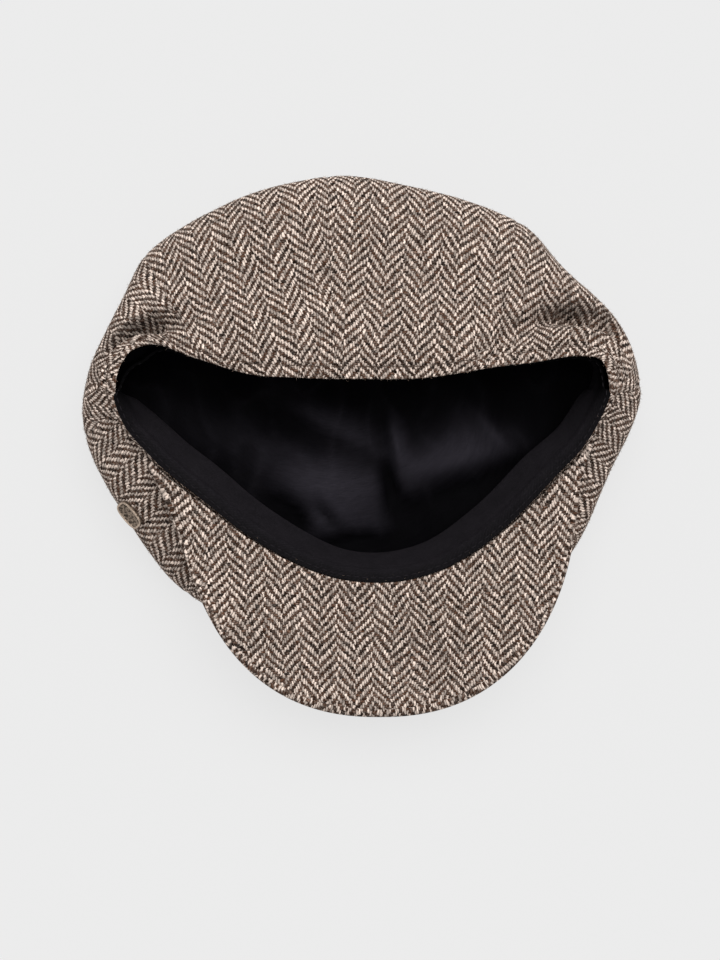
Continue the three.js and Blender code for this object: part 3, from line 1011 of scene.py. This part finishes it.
class CapCloth(bpy.types.PropertyGroup):
    """Sizes of the cap's cloth and sewing."""

    tweed: FloatProperty(
        name="Tweed", description="Thickness of the tweed", default=0.0012, unit="LENGTH", precision=4
    )
    lining: FloatProperty(
        name="Lining", description="Thickness of the lining", default=0.0008, unit="LENGTH", precision=4
    )
    band: FloatProperty(
        name="Sweatband", description="Thickness of the sweatband", default=0.0011, unit="LENGTH", precision=4
    )
    hem: FloatProperty(
        name="Hem", description="Width of the hem from the rim to its stitches", default=0.006, unit="LENGTH"
    )
    hem_sink: FloatProperty(
        name="Hem Sink", description="How far the hem's stitches pull in", default=0.0008, unit="LENGTH"
    )
    seam_sink: FloatProperty(
        name="Seam Sink", description="How far the seams between gores pull in", default=0.0004, unit="LENGTH"
    )
    ripple: FloatProperty(
        name="Ripple", description="Height of the soft unevenness of the crown", default=0.0009, unit="LENGTH"
    )
    stitch: FloatProperty(name="Stitch", description="Length of a stitch", default=0.0028, unit="LENGTH")
    stitch_gap: FloatProperty(
        name="Stitch Gap", description="Cloth between two stitches", default=0.0012, unit="LENGTH"
    )
    thread: FloatProperty(
        name="Thread", description="Thickness of the thread", default=0.0006, unit="LENGTH", precision=4
    )


class CapLook(bpy.types.PropertyGroup):
    """Colours of the cap and the floor."""

    light_yarn: FloatVectorProperty(
        name="Light Yarn", description="Cream warp of the tweed", subtype="COLOR", default=(0.8, 0.66, 0.57)
    )
    dark_yarn: FloatVectorProperty(
        name="Dark Yarn", description="Brown weft of the tweed", subtype="COLOR",
        default=(0.08, 0.0375, 0.0215),
    )
    lining: FloatVectorProperty(
        name="Lining", description="Black lining", subtype="COLOR", default=(0.036, 0.0328, 0.0418)
    )
    band: FloatVectorProperty(
        name="Sweatband", description="Black tape", subtype="COLOR", default=(0.0222, 0.0196, 0.0234)
    )
    black_thread: FloatVectorProperty(
        name="Black Thread", description="Thread on the sweatband", subtype="COLOR",
        default=(0.016, 0.014, 0.0165),
    )
    brown_thread: FloatVectorProperty(
        name="Brown Thread", description="Thread on the tweed", subtype="COLOR", default=(0.11, 0.075, 0.058)
    )
    stray_wool: FloatVectorProperty(
        name="Stray Wool", description="Loose fibres on the tweed", subtype="COLOR",
        default=(0.36, 0.265, 0.205),
    )
    brass: FloatVectorProperty(
        name="Brass", description="Badge metal where it is rubbed", subtype="COLOR",
        default=(0.69, 0.545, 0.43),
    )
    floor: FloatVectorProperty(
        name="Floor", description="Studio paper", subtype="COLOR", default=(0.83, 0.83, 0.83)
    )


class CapStage(bpy.types.PropertyGroup):
    """Camera and light."""

    eye: FloatVectorProperty(
        name="Eye", description="Place of the camera, looking straight down", subtype="XYZ",
        unit="LENGTH", default=(-0.001, -0.0165, 1.25),
    )
    lens: FloatProperty(name="Lens", description="Focal length", default=93.2, unit="CAMERA")
    key_from: FloatVectorProperty(
        name="Key From", description="Where the main light comes from", subtype="DIRECTION",
        default=(0.2, 0.8, 1.4),
    )
    key_strength: FloatProperty(name="Key Strength", description="Main light, in W/m2", default=2.3)
    key_softness: FloatProperty(
        name="Key Softness", description="Width of the main light as an angle", subtype="ANGLE",
        default=math.radians(55),
    )
    sky_strength: FloatProperty(name="Sky Strength", description="Even light of the studio", default=0.45)
    floor_size: FloatProperty(name="Floor Size", description="Side of the floor", default=8.0, unit="LENGTH")


# Operators


class CAP_OT_stage(bpy.types.Operator):
    """Lay the pale floor, light it softly from behind the cap and set the camera straight above"""

    bl_idname = "cap.stage"
    bl_label = "Studio Stage"

    def execute(self, context):
        stage, look = context.scene.cap_stage, context.scene.cap_look
        bm = bmesh.new()
        bmesh.ops.create_grid(bm, x_segments=1, y_segments=1, size=stage.floor_size / 2)
        bmesh.ops.translate(bm, verts=bm.verts, vec=(0, 0, -FLOOR_DROP * MM))
        finish_mesh(bm, "studio_floor", floor_material(look))

        world = bpy.data.worlds.new("studio light")
        world.use_nodes = True
        world.node_tree.nodes["Background"].inputs["Color"].default_value = (1, 1, 1, 1)
        world.node_tree.nodes["Background"].inputs["Strength"].default_value = stage.sky_strength
        context.scene.world = world
        key = bpy.data.lights.new("key light", "SUN")
        key.energy = stage.key_strength
        key.angle = stage.key_softness
        lamp = link(bpy.data.objects.new("key_light", key))
        lamp.rotation_euler = Vector(stage.key_from).to_track_quat("Z", "Y").to_euler()

        camera = bpy.data.cameras.new("photo camera")
        camera.sensor_fit = "VERTICAL"
        camera.sensor_height = FILM_HEIGHT
        camera.lens = stage.lens
        eye = link(bpy.data.objects.new("photo_camera", camera))
        eye.location = stage.eye
        context.scene.camera = eye
        context.scene.view_settings.view_transform = "Standard"
        return {"FINISHED"}


def v_from_rim(gore, across, distance):
    """How far along a gore lies a given length from the rim, for a row of places across it."""
    v = np.linspace(0, RIM_RULER_END, RIM_RULER_STEPS + 1)
    run = lengths_along(gore_point(gore, *np.meshgrid(across, v)), 0)
    return np.array([np.interp(distance, run[:, k], v) for k in range(len(across))])


def laid_flat(points):
    """Places of a grid of cloth on the flat with the least stretch, its middle column running straight.

    A coarse net of threads along, across and corner to corner starts from the lengths of its rows and its
    middle column, and pulls itself to its true lengths.
    """
    net = points[::NET_ROWS, ::NET_COLUMNS]
    middle = net.shape[1] // 2
    over = lengths_along(net, 1)
    over = over - over[:, middle : middle + 1]
    along = lengths_along(net, 0)[:, middle : middle + 1] + 0 * over
    flat = np.stack((over, along), axis=-1).reshape(-1, 2)
    knot = np.arange(len(flat)).reshape(net.shape[:2])
    threads = (
        (knot[1:], knot[:-1]),
        (knot[:, 1:], knot[:, :-1]),
        (knot[1:, 1:], knot[:-1, :-1]),
        (knot[1:, :-1], knot[:-1, 1:]),
    )
    a = np.concatenate([one.ravel() for one, _ in threads])
    b = np.concatenate([other.ravel() for _, other in threads])
    place = net.reshape(-1, 3)
    length = np.maximum(np.linalg.norm(place[a] - place[b], axis=1), NET_SHORTEST)
    stiff = NET_HOLD * np.eye(len(flat))
    for one, other, sign in ((a, a, 1), (b, b, 1), (a, b, -1), (b, a, -1)):
        np.add.at(stiff, (one, other), sign / length)
    solve = np.linalg.inv(stiff)
    for _ in range(NET_PULLS):
        run = unit(flat[a] - flat[b])
        pull = NET_HOLD * flat
        np.add.at(pull, a, run)
        np.subtract.at(pull, b, run)
        flat = solve @ pull

    # The middle column upright, then from the net to every point of the grid
    flat = flat.reshape(*net.shape[:2], 2)
    flat = flat - flat[0, middle]
    up = unit(flat[len(flat) // 2, middle])
    flat = np.stack((flat @ (up[1], -up[0]), flat @ up), axis=-1)
    rows, columns = np.arange(points.shape[0]) / NET_ROWS, np.arange(points.shape[1]) / NET_COLUMNS
    row = np.minimum(rows.astype(int), net.shape[0] - 2)
    column = np.minimum(columns.astype(int), net.shape[1] - 2)
    share = (columns - column)[None, :, None]
    near = mix(flat[row][:, column], flat[row][:, column + 1], share)
    far = mix(flat[row + 1][:, column], flat[row + 1][:, column + 1], share)
    return mix(near, far, (rows - row)[:, None, None])


def gore_sheet(gore, cloth, material):
    """One gore of the crown: outer face, the fold round the rim and the hem turned in behind it."""
    columns = np.linspace(0, 1, GORE_COLUMNS + 1)
    columns = columns - GORE_SEAM_CROWDING * np.sin(2 * np.pi * columns)
    share = np.linspace(0, 1, GORE_ROWS + 1)
    share = GORE_EVEN_ROWS * share + (1 - GORE_EVEN_ROWS) * share**2
    across, share = np.meshgrid(columns, share)
    first = v_from_rim(gore, columns, HEM_FOLD_REACH)
    v = first + (GORE_TIP - first) * share
    margin = SEAM_GAP / 2 / gore_width(gore, v)
    across = mix(margin, 1 - margin, across)
    face = gore_cloth_point(gore, across, v, cloth)

    # The fold round the rim and the hem turned in behind it
    edge, normal = face[0], gore_normal(gore, across[0], v[0])
    out = unit(edge - face[1])
    out = unit(out - normal * np.sum(out * normal, axis=-1, keepdims=True))
    middle = edge - normal * HEM_FOLD_DEPTH
    turned = [
        middle - normal * HEM_FOLD_DEPTH - out * run
        for run in np.linspace(HEM_TURN, 0, HEM_TURN_ROWS, endpoint=False)
    ]
    fold = [
        middle + HEM_FOLD_DEPTH * math.cos(a) * normal + HEM_FOLD_REACH * math.sin(a) * out
        for a in np.linspace(math.pi, 0, HEM_FOLD_ROWS, endpoint=False)
    ]
    points = np.concatenate((turned, fold, face))

    # Places on flat cloth, and the shade in the creases and along the hem
    flat_face = laid_flat(face)
    along = lengths_along(points, 0)
    rows = HEM_TURN_ROWS + HEM_FOLD_ROWS
    flat_hem = np.repeat(flat_face[:1], rows, axis=0)
    flat_hem[..., 1] += (along - along[rows])[:rows]
    flat = np.concatenate((flat_hem, flat_face))
    raised = 1 - dent_depth(gore_deg(gore, across, v), v, rows=SHADES)
    raised = raised - HEM_SHADE * bell(rim_distance(gore, across, v) - cloth.hem / MM, HEM_STITCH_REACH)
    raised = np.concatenate((np.repeat(raised[:1], rows, axis=0), raised))
    name = SEAMS[gore].gore
    sheet = cloth_sheet(name + "_cloth", points, flat, raised, cloth.tweed, material, turned=True)
    declare_sheet(sheet, name)


def hem_path(cloth):
    """Line of the hem's stitches round the back of the rim, with the directions out of the cloth."""
    points, outward = [], []
    for gore in HEM_STITCH_GORES:
        across = np.linspace(0, 1, HEM_STITCH_STATIONS)
        v = v_from_rim(gore, across, cloth.hem / MM)
        turn = (gore_deg(gore, across, v) + 90) % 360 - 90
        sewn = (turn > HEM_STITCH_FROM_DEG) & (turn < HEM_STITCH_TO_DEG)
        across, v = across[sewn], v[sewn]
        points.append(gore_cloth_point(gore, across, v, cloth, HEM_STITCH_OUT * (cloth.thread / MM / 2)))
        outward.append(gore_normal(gore, across, v))
    return np.concatenate(points), np.concatenate(outward)


class CAP_OT_crown(bpy.types.Operator):
    """Sew the eight tweed gores of the crown and the stitches of its hem"""

    bl_idname = "cap.crown"
    bl_label = "Crown Gores"

    def execute(self, context):
        cloth, look = context.scene.cap_cloth, context.scene.cap_look
        tweed = tweed_material(look)
        for gore in range(len(SEAMS)):
            gore_sheet(gore, cloth, tweed)
        thread = thread_material("brown thread", look.brown_thread)
        stitches = stitch_row("hem_stitches", *hem_path(cloth), cloth, thread)
        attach(stitches, "root")
        return {"FINISHED"}


def fold_height(points):
    """Height of the lining's folds, below 0 in its hollows."""
    height = 0
    for fold in FOLDS:
        turn = math.radians(fold.deg)
        x, y = points[..., 0] - fold.x, points[..., 1] - fold.y
        along = x * math.cos(turn) + y * math.sin(turn)
        aside = y * math.cos(turn) - x * math.sin(turn)
        side = np.where(aside > 0, fold.width, fold.fall)
        height = height + fold.height * bell(along, fold.length) * bell(aside, side)
    return height


def eased_rise(height, softness):
    """Height where it is above 0, easing to 0 below it."""
    return 0.5 * (height + np.sqrt(height**2 + softness))


class CAP_OT_lining(bpy.types.Operator):
    """Lay the black lining inside the crown, with its soft folds"""

    bl_idname = "cap.lining"
    bl_label = "Lining"

    def execute(self, context):
        cloth, look = context.scene.cap_cloth, context.scene.cap_look
        v = np.linspace(LINING_TOP, 1, LINING_ROWS + 1)
        per_gore = LINING_COLUMNS // len(SEAMS)
        steps = np.arange(LINING_COLUMNS + 1)
        points = np.zeros((len(v), len(steps), 3))
        for step in steps:
            gore = (step // per_gore) % len(SEAMS)
            across = np.full(len(v), (step % per_gore) / per_gore)
            points[:, step] = crown_point(gore, across, np.minimum(v, LINING_TIP), LINING_INSET, LINING_SLACK)
        points[-1] = points[-1].mean(axis=0)
        loose = smooth(v, FOLD_START, FLOOR_EDGE)[:, None]
        wrinkles = (1 - np.abs(lump_noise(points, LINING_WRINKLE))) ** WRINKLE_SHARPNESS
        creases = lumps(points, LINING_CREASES) + LINING_WRINKLE.share * wrinkles
        folds = fold_height(points)
        lifted = eased_rise(folds, FOLD_SOFTNESS) + CREASE_HEIGHT * (creases + CREASE_LIFT)
        points[..., 2] += loose * lifted
        over = lengths_along(points, 1)
        along = lengths_along(points, 0).mean(axis=1)[:, None] + 0 * over
        flat = np.stack((over, along), axis=-1)
        # Painted light on the high folds, painted shade in the hollows and an even painted shade on the wall
        # below the rim
        raised = smooth(folds + creases + wrinkles, LINING_DARKEST, LINING_LIGHTEST)
        wall = LINING_WALL_TONE * smooth(v, *LINING_WALL_START)[:, None]
        raised = mix(wall, raised, smooth(v, *LINING_WALL_END)[:, None])
        black = lining_material(look)
        sheet = cloth_sheet("lining_cloth", points, flat, raised, cloth.lining, black, ring=True)
        declare_sheet(sheet, "lining")
        return {"FINISHED"}


def rim_outward(deg):
    """Level direction out of the rim."""
    step = 0.2
    run = rim_point(deg + step) - rim_point(deg - step)
    return unit(np.stack((run[..., 1], -run[..., 0], 0 * run[..., 0]), axis=-1))


def band_point(deg, down, inset):
    """Point of the hanging sweatband: down runs from its top, 0, to its lower edge, 1."""
    tuck, drop, lean = (through(BAND_HANG, "deg", column, deg) for column in ("tuck", "drop", "lean"))
    fall = np.sqrt(BAND_WIDTH**2 - lean**2)
    point = rim_point(deg) - rim_outward(deg) * (tuck + inset + lean * down)[..., None]
    point[..., 2] -= drop + fall * down
    return point


def band_turn_point(deg, share):
    """Top of the sweatband: at the front it turns out over the rim to meet the peak."""
    hung = band_point(deg, BAND_TURN_DOWN + 0 * deg, BAND_CLOTH)
    rim = rim_point(deg) + rim_outward(deg) * BAND_TURN_OVER + (0, 0, BAND_TURN_UP)
    over = smooth(-np.sin(np.radians(deg)), *BAND_TURN_FADE)[..., None]
    start = mix(band_point(deg, 0 * deg, BAND_CLOTH), rim, over)
    swing = share * math.pi / 2
    point = mix(start, hung, np.sin(swing)[..., None])
    point[..., 2] = mix(start[..., 2], hung[..., 2], 1 - np.cos(swing))
    return point


class CAP_OT_sweatband(bpy.types.Operator):
    """Hang the black sweatband inside the rim and sew its row of stitches"""

    bl_idname = "cap.sweatband"
    bl_label = "Sweatband"

    def execute(self, context):
        cloth, look = context.scene.cap_cloth, context.scene.cap_look
        rows = np.linspace(BAND_TURN_DOWN, 1, BAND_ROWS + 1)
        deg, down = np.meshgrid(np.linspace(0, 360, BAND_COLUMNS + 1), rows)
        points = band_point(deg, down, BAND_CLOTH)
        wave = lumps(points, [BAND_WAVE]) * smooth(down, BAND_WAVE_START, 1.0)
        points = points + rim_outward(deg) * wave[..., None]
        turn_deg, turn_share = np.meshgrid(deg[0], np.linspace(0, 1, BAND_TURN_ROWS, endpoint=False))
        points = np.concatenate((band_turn_point(turn_deg, turn_share), points))
        points[:, -1] = points[:, 0]
        along = lengths_along(points, 0)
        over = lengths_along(points, 1).mean(axis=0)[None, :] + 0 * along
        flat = np.stack((over, along), axis=-1)
        # Painted shade: darker at the back and along the top edge where the band turns over the rim
        front = 1 - smooth(np.sin(np.radians(deg[0])), *BAND_FRONT_FADE)
        hung = mix(front, 1, BAND_BACK_TONE * smooth(down, BAND_TURN_DOWN, BAND_BACK_FULL))
        sewn = front * mix(BAND_EDGE_SHADE_TONE, 1, smooth(turn_share, *BAND_EDGE_SHADE_FADE))
        raised = np.concatenate((sewn, hung))
        tape = band_material(look)
        sheet = cloth_sheet("sweatband_cloth", points, flat, raised, cloth.band, tape, ring=True)

        deg = np.linspace(0, 360, BAND_STITCH_STATIONS + 1)
        line = band_turn_point(deg, BAND_STITCH_SHARE + 0 * deg)
        outward = unit((0, 0, 1) - BAND_STITCH_LEAN * rim_outward(deg))
        thread = thread_material("black thread", look.black_thread)
        stitches = stitch_row("sweatband_stitches", line, outward, cloth, thread)
        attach(stitches, "root")
        declare_sheet(sheet, "sweatband")
        return {"FINISHED"}


def peak_point(t, s):
    """Face of the peak that lies up: t runs from its left end to its right, s from the rim to its edge."""
    deg = mix(PEAK_LEFT_DEG, PEAK_RIGHT_DEG, t)
    cos, sin = np.cos(np.pi * t), np.clip(np.sin(np.pi * t), 0, 1)
    power = 2 / PEAK_ROUNDNESS
    clear = mix(PEAK_END_CLEAR, PEAK_SEAM_CLEAR, sin)
    inner = rim_point(deg) + rim_outward(deg) * clear[..., None]
    flare = np.where(cos > 0, PEAK_LEFT_FLARE * (1 - sin) ** PEAK_FLARE_FADE, 0)
    outer = np.stack(
        (
            PEAK_MIDDLE_X - flare - PEAK_HALF_WIDTH * np.sign(cos) * np.abs(cos) ** power,
            PEAK_MIDDLE_Y - PEAK_REACH * sin**power,
            mix(PEAK_END_Z, PEAK_TIP_Z, sin**2),
        ),
        axis=-1,
    )
    point = mix(inner, outer, np.asarray(s)[..., None])
    point[..., 2] -= PEAK_SAG * sin * 4 * s * (1 - s)
    return point


def peak_under(ends, depth, lip, half):
    """Under cloth of the peak, which dips to go under the lip: its points and its places on flat cloth."""
    rows = np.linspace(0, 1, PEAK_ROWS + 1)
    rows = rows + PEAK_ROW_CROWDING * np.sin(2 * np.pi * rows) / (2 * np.pi)
    t, share = np.meshgrid(ends, rows)
    s = share * (1 - PEAK_UNDER_TUCK * lip)
    points = peak_point(t, s)
    to_lip = (1 - lip - s) * depth
    crest = PEAK_CREST * bell(to_lip - PEAK_CREST_AT, PEAK_CREST_REACH)
    dip = PEAK_DIP * smooth(-to_lip, *PEAK_DIP_FADE) - crest
    swell = lumps(points, [PEAK_SWELL]) * smooth(share, 0, PEAK_SWELL_FADE)
    points[..., 2] += (swell - dip) * np.minimum(1, half / PEAK_HALF_THICKNESS)
    return points, points[..., :2] + (PEAK_CLOTH_SHIFT, 0)


def peak_upper(ends, depth, lip, half):
    """Upper cloth of the peak, from the rim round the edge to the lip: its points and its flat places.

    A section lies at s, down from the peak's face, and on flat cloth it lies past start by run.
    """
    core = 1 - half / depth
    sections = []
    for share in np.linspace(0, 1, PEAK_ROWS + 1)[:-1]:
        s = share * core
        thin = mix(PEAK_SEAM_SHARE, 1, smooth(s, 0, PEAK_FULL_STATION))
        sections.append(Section(s, 2 * half * thin, s, 0 * depth))
    for angle in np.linspace(-math.pi / 2, math.pi / 2, PEAK_EDGE_ROWS + 1):
        s = core + half / depth * math.cos(angle)
        sections.append(Section(s, half - half * math.sin(angle), core, half * (angle + math.pi / 2)))
    for share in np.linspace(0, 1, PEAK_LIP_ROWS + 1)[1:]:
        s = mix(core, 1 - lip, share)
        sink = PEAK_LIP_SINK * half / PEAK_HALF_THICKNESS * share**3
        sections.append(Section(s, sink, core, half * math.pi + (core - s) * depth))
    edge = unit(np.gradient(peak_point(ends, 1 + 0 * ends)[:, :2], axis=0))
    outward = np.stack((edge[:, 1], -edge[:, 0]), axis=-1)
    points, flat = [], []
    for section in sections:
        point = peak_point(ends, section.s)
        point[..., 2] -= section.down
        points.append(point)
        flat.append(peak_point(ends, section.start)[:, :2] + outward * section.run[:, None])
    return np.array(points), np.array(flat)


class CAP_OT_peak(bpy.types.Operator):
    """Cover the peak: the under cloth that shows, and the upper cloth rolled round its edge"""

    bl_idname = "cap.peak"
    bl_label = "Peak"

    def execute(self, context):
        cloth, look = context.scene.cap_cloth, context.scene.cap_look
        tweed = tweed_material(look)
        ends = np.linspace(0, 1, PEAK_COLUMNS + 1)
        depth = np.linalg.norm(peak_point(ends, 1 + 0 * ends) - peak_point(ends, 0 * ends), axis=-1)
        lip = PEAK_LIP * mix(PEAK_LIP_END, 1, smooth(ends, *PEAK_LIP_FADE))
        lip = np.minimum(lip, PEAK_LIP_WIDEST_SHARE * depth) / depth
        half = np.minimum(PEAK_HALF_THICKNESS, PEAK_THICKEST_SHARE * depth)

        points, flat = peak_under(ends, depth, lip, half)
        even = np.ones(points.shape[:2])
        piece = cloth_sheet("peak_under_cloth_tweed", points, flat, even, cloth.tweed, tweed)
        declare_sheet(piece, "peak_under_cloth")

        points, flat = peak_upper(ends, depth, lip, half)
        even = np.ones(points.shape[:2])
        piece = cloth_sheet("peak_upper_cloth_tweed", points, flat, even, cloth.tweed, tweed, turned=True)
        declare_sheet(piece, "peak_upper_cloth")
        return {"FINISHED"}


def badge_plate():
    """Plate with rounded ends, flat at the origin: a bevelled border round a bare recess."""
    bm = bmesh.new()
    bmesh.ops.create_circle(bm, cap_ends=True, segments=BADGE_SIDES, radius=1.0)
    power = 2 / BADGE_ROUNDNESS
    for vert in bm.verts:
        x, y = vert.co.x, vert.co.y
        vert.co.x = math.copysign(abs(x) ** power, x) * BADGE_LENGTH / 2 * MM
        vert.co.y = math.copysign(abs(y) ** power, y) * BADGE_WIDTH / 2 * MM
    lifted = bmesh.ops.extrude_face_region(bm, geom=bm.faces[:])["geom"]
    verts = [g for g in lifted if isinstance(g, bmesh.types.BMVert)]
    bmesh.ops.translate(bm, verts=verts, vec=(0, 0, BADGE_THICKNESS * MM))
    bmesh.ops.recalc_face_normals(bm, faces=bm.faces)
    face = max(bm.faces, key=lambda f: f.calc_center_median().z)
    bmesh.ops.bevel(
        bm,
        geom=list(face.edges),
        offset=BADGE_BEVEL * MM,
        offset_type="OFFSET",
        segments=BADGE_BEVEL_STEPS,
        profile=0.5,
        affect="EDGES",
        material=-1,
    )
    wide = [f for f in bm.faces if len(f.verts) == BADGE_SIDES]
    face = max(wide, key=lambda f: f.calc_center_median().z)
    steps = ((BADGE_BORDER, 0), (BADGE_RECESS_SLOPE, -BADGE_RECESS), (BADGE_FIELD_EDGE, 0))
    for inward, up in steps:
        bmesh.ops.inset_region(bm, faces=[face], thickness=inward * MM, depth=up * MM)
    bmesh.ops.poke(bm, faces=[face])
    rubbed = bm.verts.layers.float.new(RUBBED)
    for vert in bm.verts:
        vert[rubbed] = float(smooth(vert.co.z / (BADGE_THICKNESS * MM), BADGE_RUBBED_FROM, 1.0))
    return bm


class CAP_OT_badge(bpy.types.Operator):
    """Set the small brass plate on the side of the crown"""

    bl_idname = "cap.badge"
    bl_label = "Side Badge"

    def execute(self, context):
        look = context.scene.cap_look
        bm = badge_plate()
        across, along = np.array(BADGE_ACROSS), np.array(BADGE_ALONG)
        normal = Vector(gore_normal(BADGE_GORE, across, along))
        around = Vector((-normal.y, normal.x, 0)).normalized()
        basis = Matrix((around, normal.cross(around), normal)).transposed().to_4x4()
        seat = Vector(crown_point(BADGE_GORE, across, along, -BADGE_CLEAR)) * MM
        lean = Matrix.Rotation(math.radians(BADGE_LEAN), 4, "X")
        bmesh.ops.transform(bm, matrix=Matrix.Translation(seat) @ basis @ lean, verts=bm.verts)
        badge = finish_mesh(bm, "side_badge_plate", brass_material(look))
        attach(badge, "root")
        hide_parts("side_badge")
        return {"FINISHED"}


def fibre_roots(draw, tweed):
    """Random places on the tweed above the floor, with the directions out of the cloth."""
    roots, normals = [], []
    sheets = [piece for piece in bpy.data.objects if piece.active_material == tweed]
    for sheet in sorted(sheets, key=lambda piece: piece.name):
        faces = sheet.data.polygons
        centre, normal, area = np.empty(3 * len(faces)), np.empty(3 * len(faces)), np.empty(len(faces))
        faces.foreach_get("center", centre)
        faces.foreach_get("normal", normal)
        faces.foreach_get("area", area)
        count = int(FIBRES_PER_MM2 * area.sum() / MM**2)
        pick = draw.choice(len(faces), count, p=area / area.sum())
        roots.append(centre.reshape(-1, 3)[pick] / MM)
        normals.append(normal.reshape(-1, 3)[pick])
    root, normal = np.concatenate(roots), np.concatenate(normals)
    clear = root[:, 2] > FIBRE_FLOOR_CLEAR
    return root[clear], normal[clear]


class CAP_OT_fibres(bpy.types.Operator):
    """Raise the short stray fibres of the wool all over the tweed"""

    bl_idname = "cap.fibres"
    bl_label = "Stray Fibres"

    def execute(self, context):
        look = context.scene.cap_look
        draw = np.random.default_rng(FIBRE_SEED)
        root, normal = fibre_roots(draw, tweed_material(look))
        each = (len(root), 1)
        side = unit(np.cross(normal, draw.normal(size=root.shape)))
        lie = unit(draw.uniform(*FIBRE_RISE, each) * normal + side)
        curl = np.cross(normal, side) * draw.uniform(-FIBRE_CURL, FIBRE_CURL, each)
        length = draw.uniform(FIBRE_SHORTEST, FIBRE_LONGEST, each)
        root = root + FIBRE_JITTER * np.cross(normal, draw.normal(size=root.shape))
        across = unit(np.cross(lie, normal))
        over = np.cross(lie, across)
        verts = []
        for share, radius in ((0, FIBRE_RADIUS), (FIBRE_BEND_AT, FIBRE_TAPER * FIBRE_RADIUS)):
            middle = root + length * (share * lie + share**2 * curl)
            for angle in (0, 2 * math.pi / 3, 4 * math.pi / 3):
                verts.append(middle + radius * (math.cos(angle) * across + math.sin(angle) * over))
        verts.append(root + length * (lie + curl))
        verts = np.stack(verts, axis=1)
        first = verts.shape[1] * np.arange(len(verts))[:, None, None]
        walls = np.array([(0, 1, 4, 3), (1, 2, 5, 4), (2, 0, 3, 5)]) + first
        ends = np.array([(3, 4, 6), (4, 5, 6), (5, 3, 6), (0, 2, 1)]) + first
        mesh = bpy.data.meshes.new("stray_fibres")
        faces = walls.reshape(-1, 4).tolist() + ends.reshape(-1, 3).tolist()
        mesh.from_pydata((verts.reshape(-1, 3) * MM).tolist(), [], faces)
        mesh.materials.append(thread_material("stray wool", look.stray_wool))
        fibres = link(bpy.data.objects.new("stray_fibres", mesh))
        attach(fibres, "root")
        return {"FINISHED"}


class CAP_PT_panel(bpy.types.Panel):
    """Cap pieces and settings"""

    bl_label = "Baker Boy Cap"
    bl_idname = "CAP_PT_panel"
    bl_space_type = "VIEW_3D"
    bl_region_type = "UI"
    bl_category = "Cap"

    def draw(self, context):
        for operator in OPERATORS:
            self.layout.operator(operator.bl_idname)
        for settings in (context.scene.cap_cloth, context.scene.cap_look, context.scene.cap_stage):
            box = self.layout.box()
            for name in settings.__annotations__:
                box.prop(settings, name)


OPERATORS = (
    CAP_OT_stage,
    CAP_OT_crown,
    CAP_OT_lining,
    CAP_OT_sweatband,
    CAP_OT_peak,
    CAP_OT_badge,
    CAP_OT_fibres,
)
SETTINGS = {"cap_cloth": CapCloth, "cap_look": CapLook, "cap_stage": CapStage}


def register():
    for cls in (*SETTINGS.values(), *OPERATORS, CAP_PT_panel):
        bpy.utils.register_class(cls)
    for name, cls in SETTINGS.items():
        setattr(bpy.types.Scene, name, PointerProperty(type=cls))


def unregister():
    for name in SETTINGS:
        delattr(bpy.types.Scene, name)
    for cls in (CAP_PT_panel, *reversed(OPERATORS), *SETTINGS.values()):
        bpy.utils.unregister_class(cls)


def main():
    register()
    bpy.ops.cap.stage()
    bpy.ops.cap.crown()
    bpy.ops.cap.lining()
    bpy.ops.cap.sweatband()
    bpy.ops.cap.peak()
    bpy.ops.cap.badge()
    bpy.ops.cap.fibres()


if __name__ == "__main__":
    main()
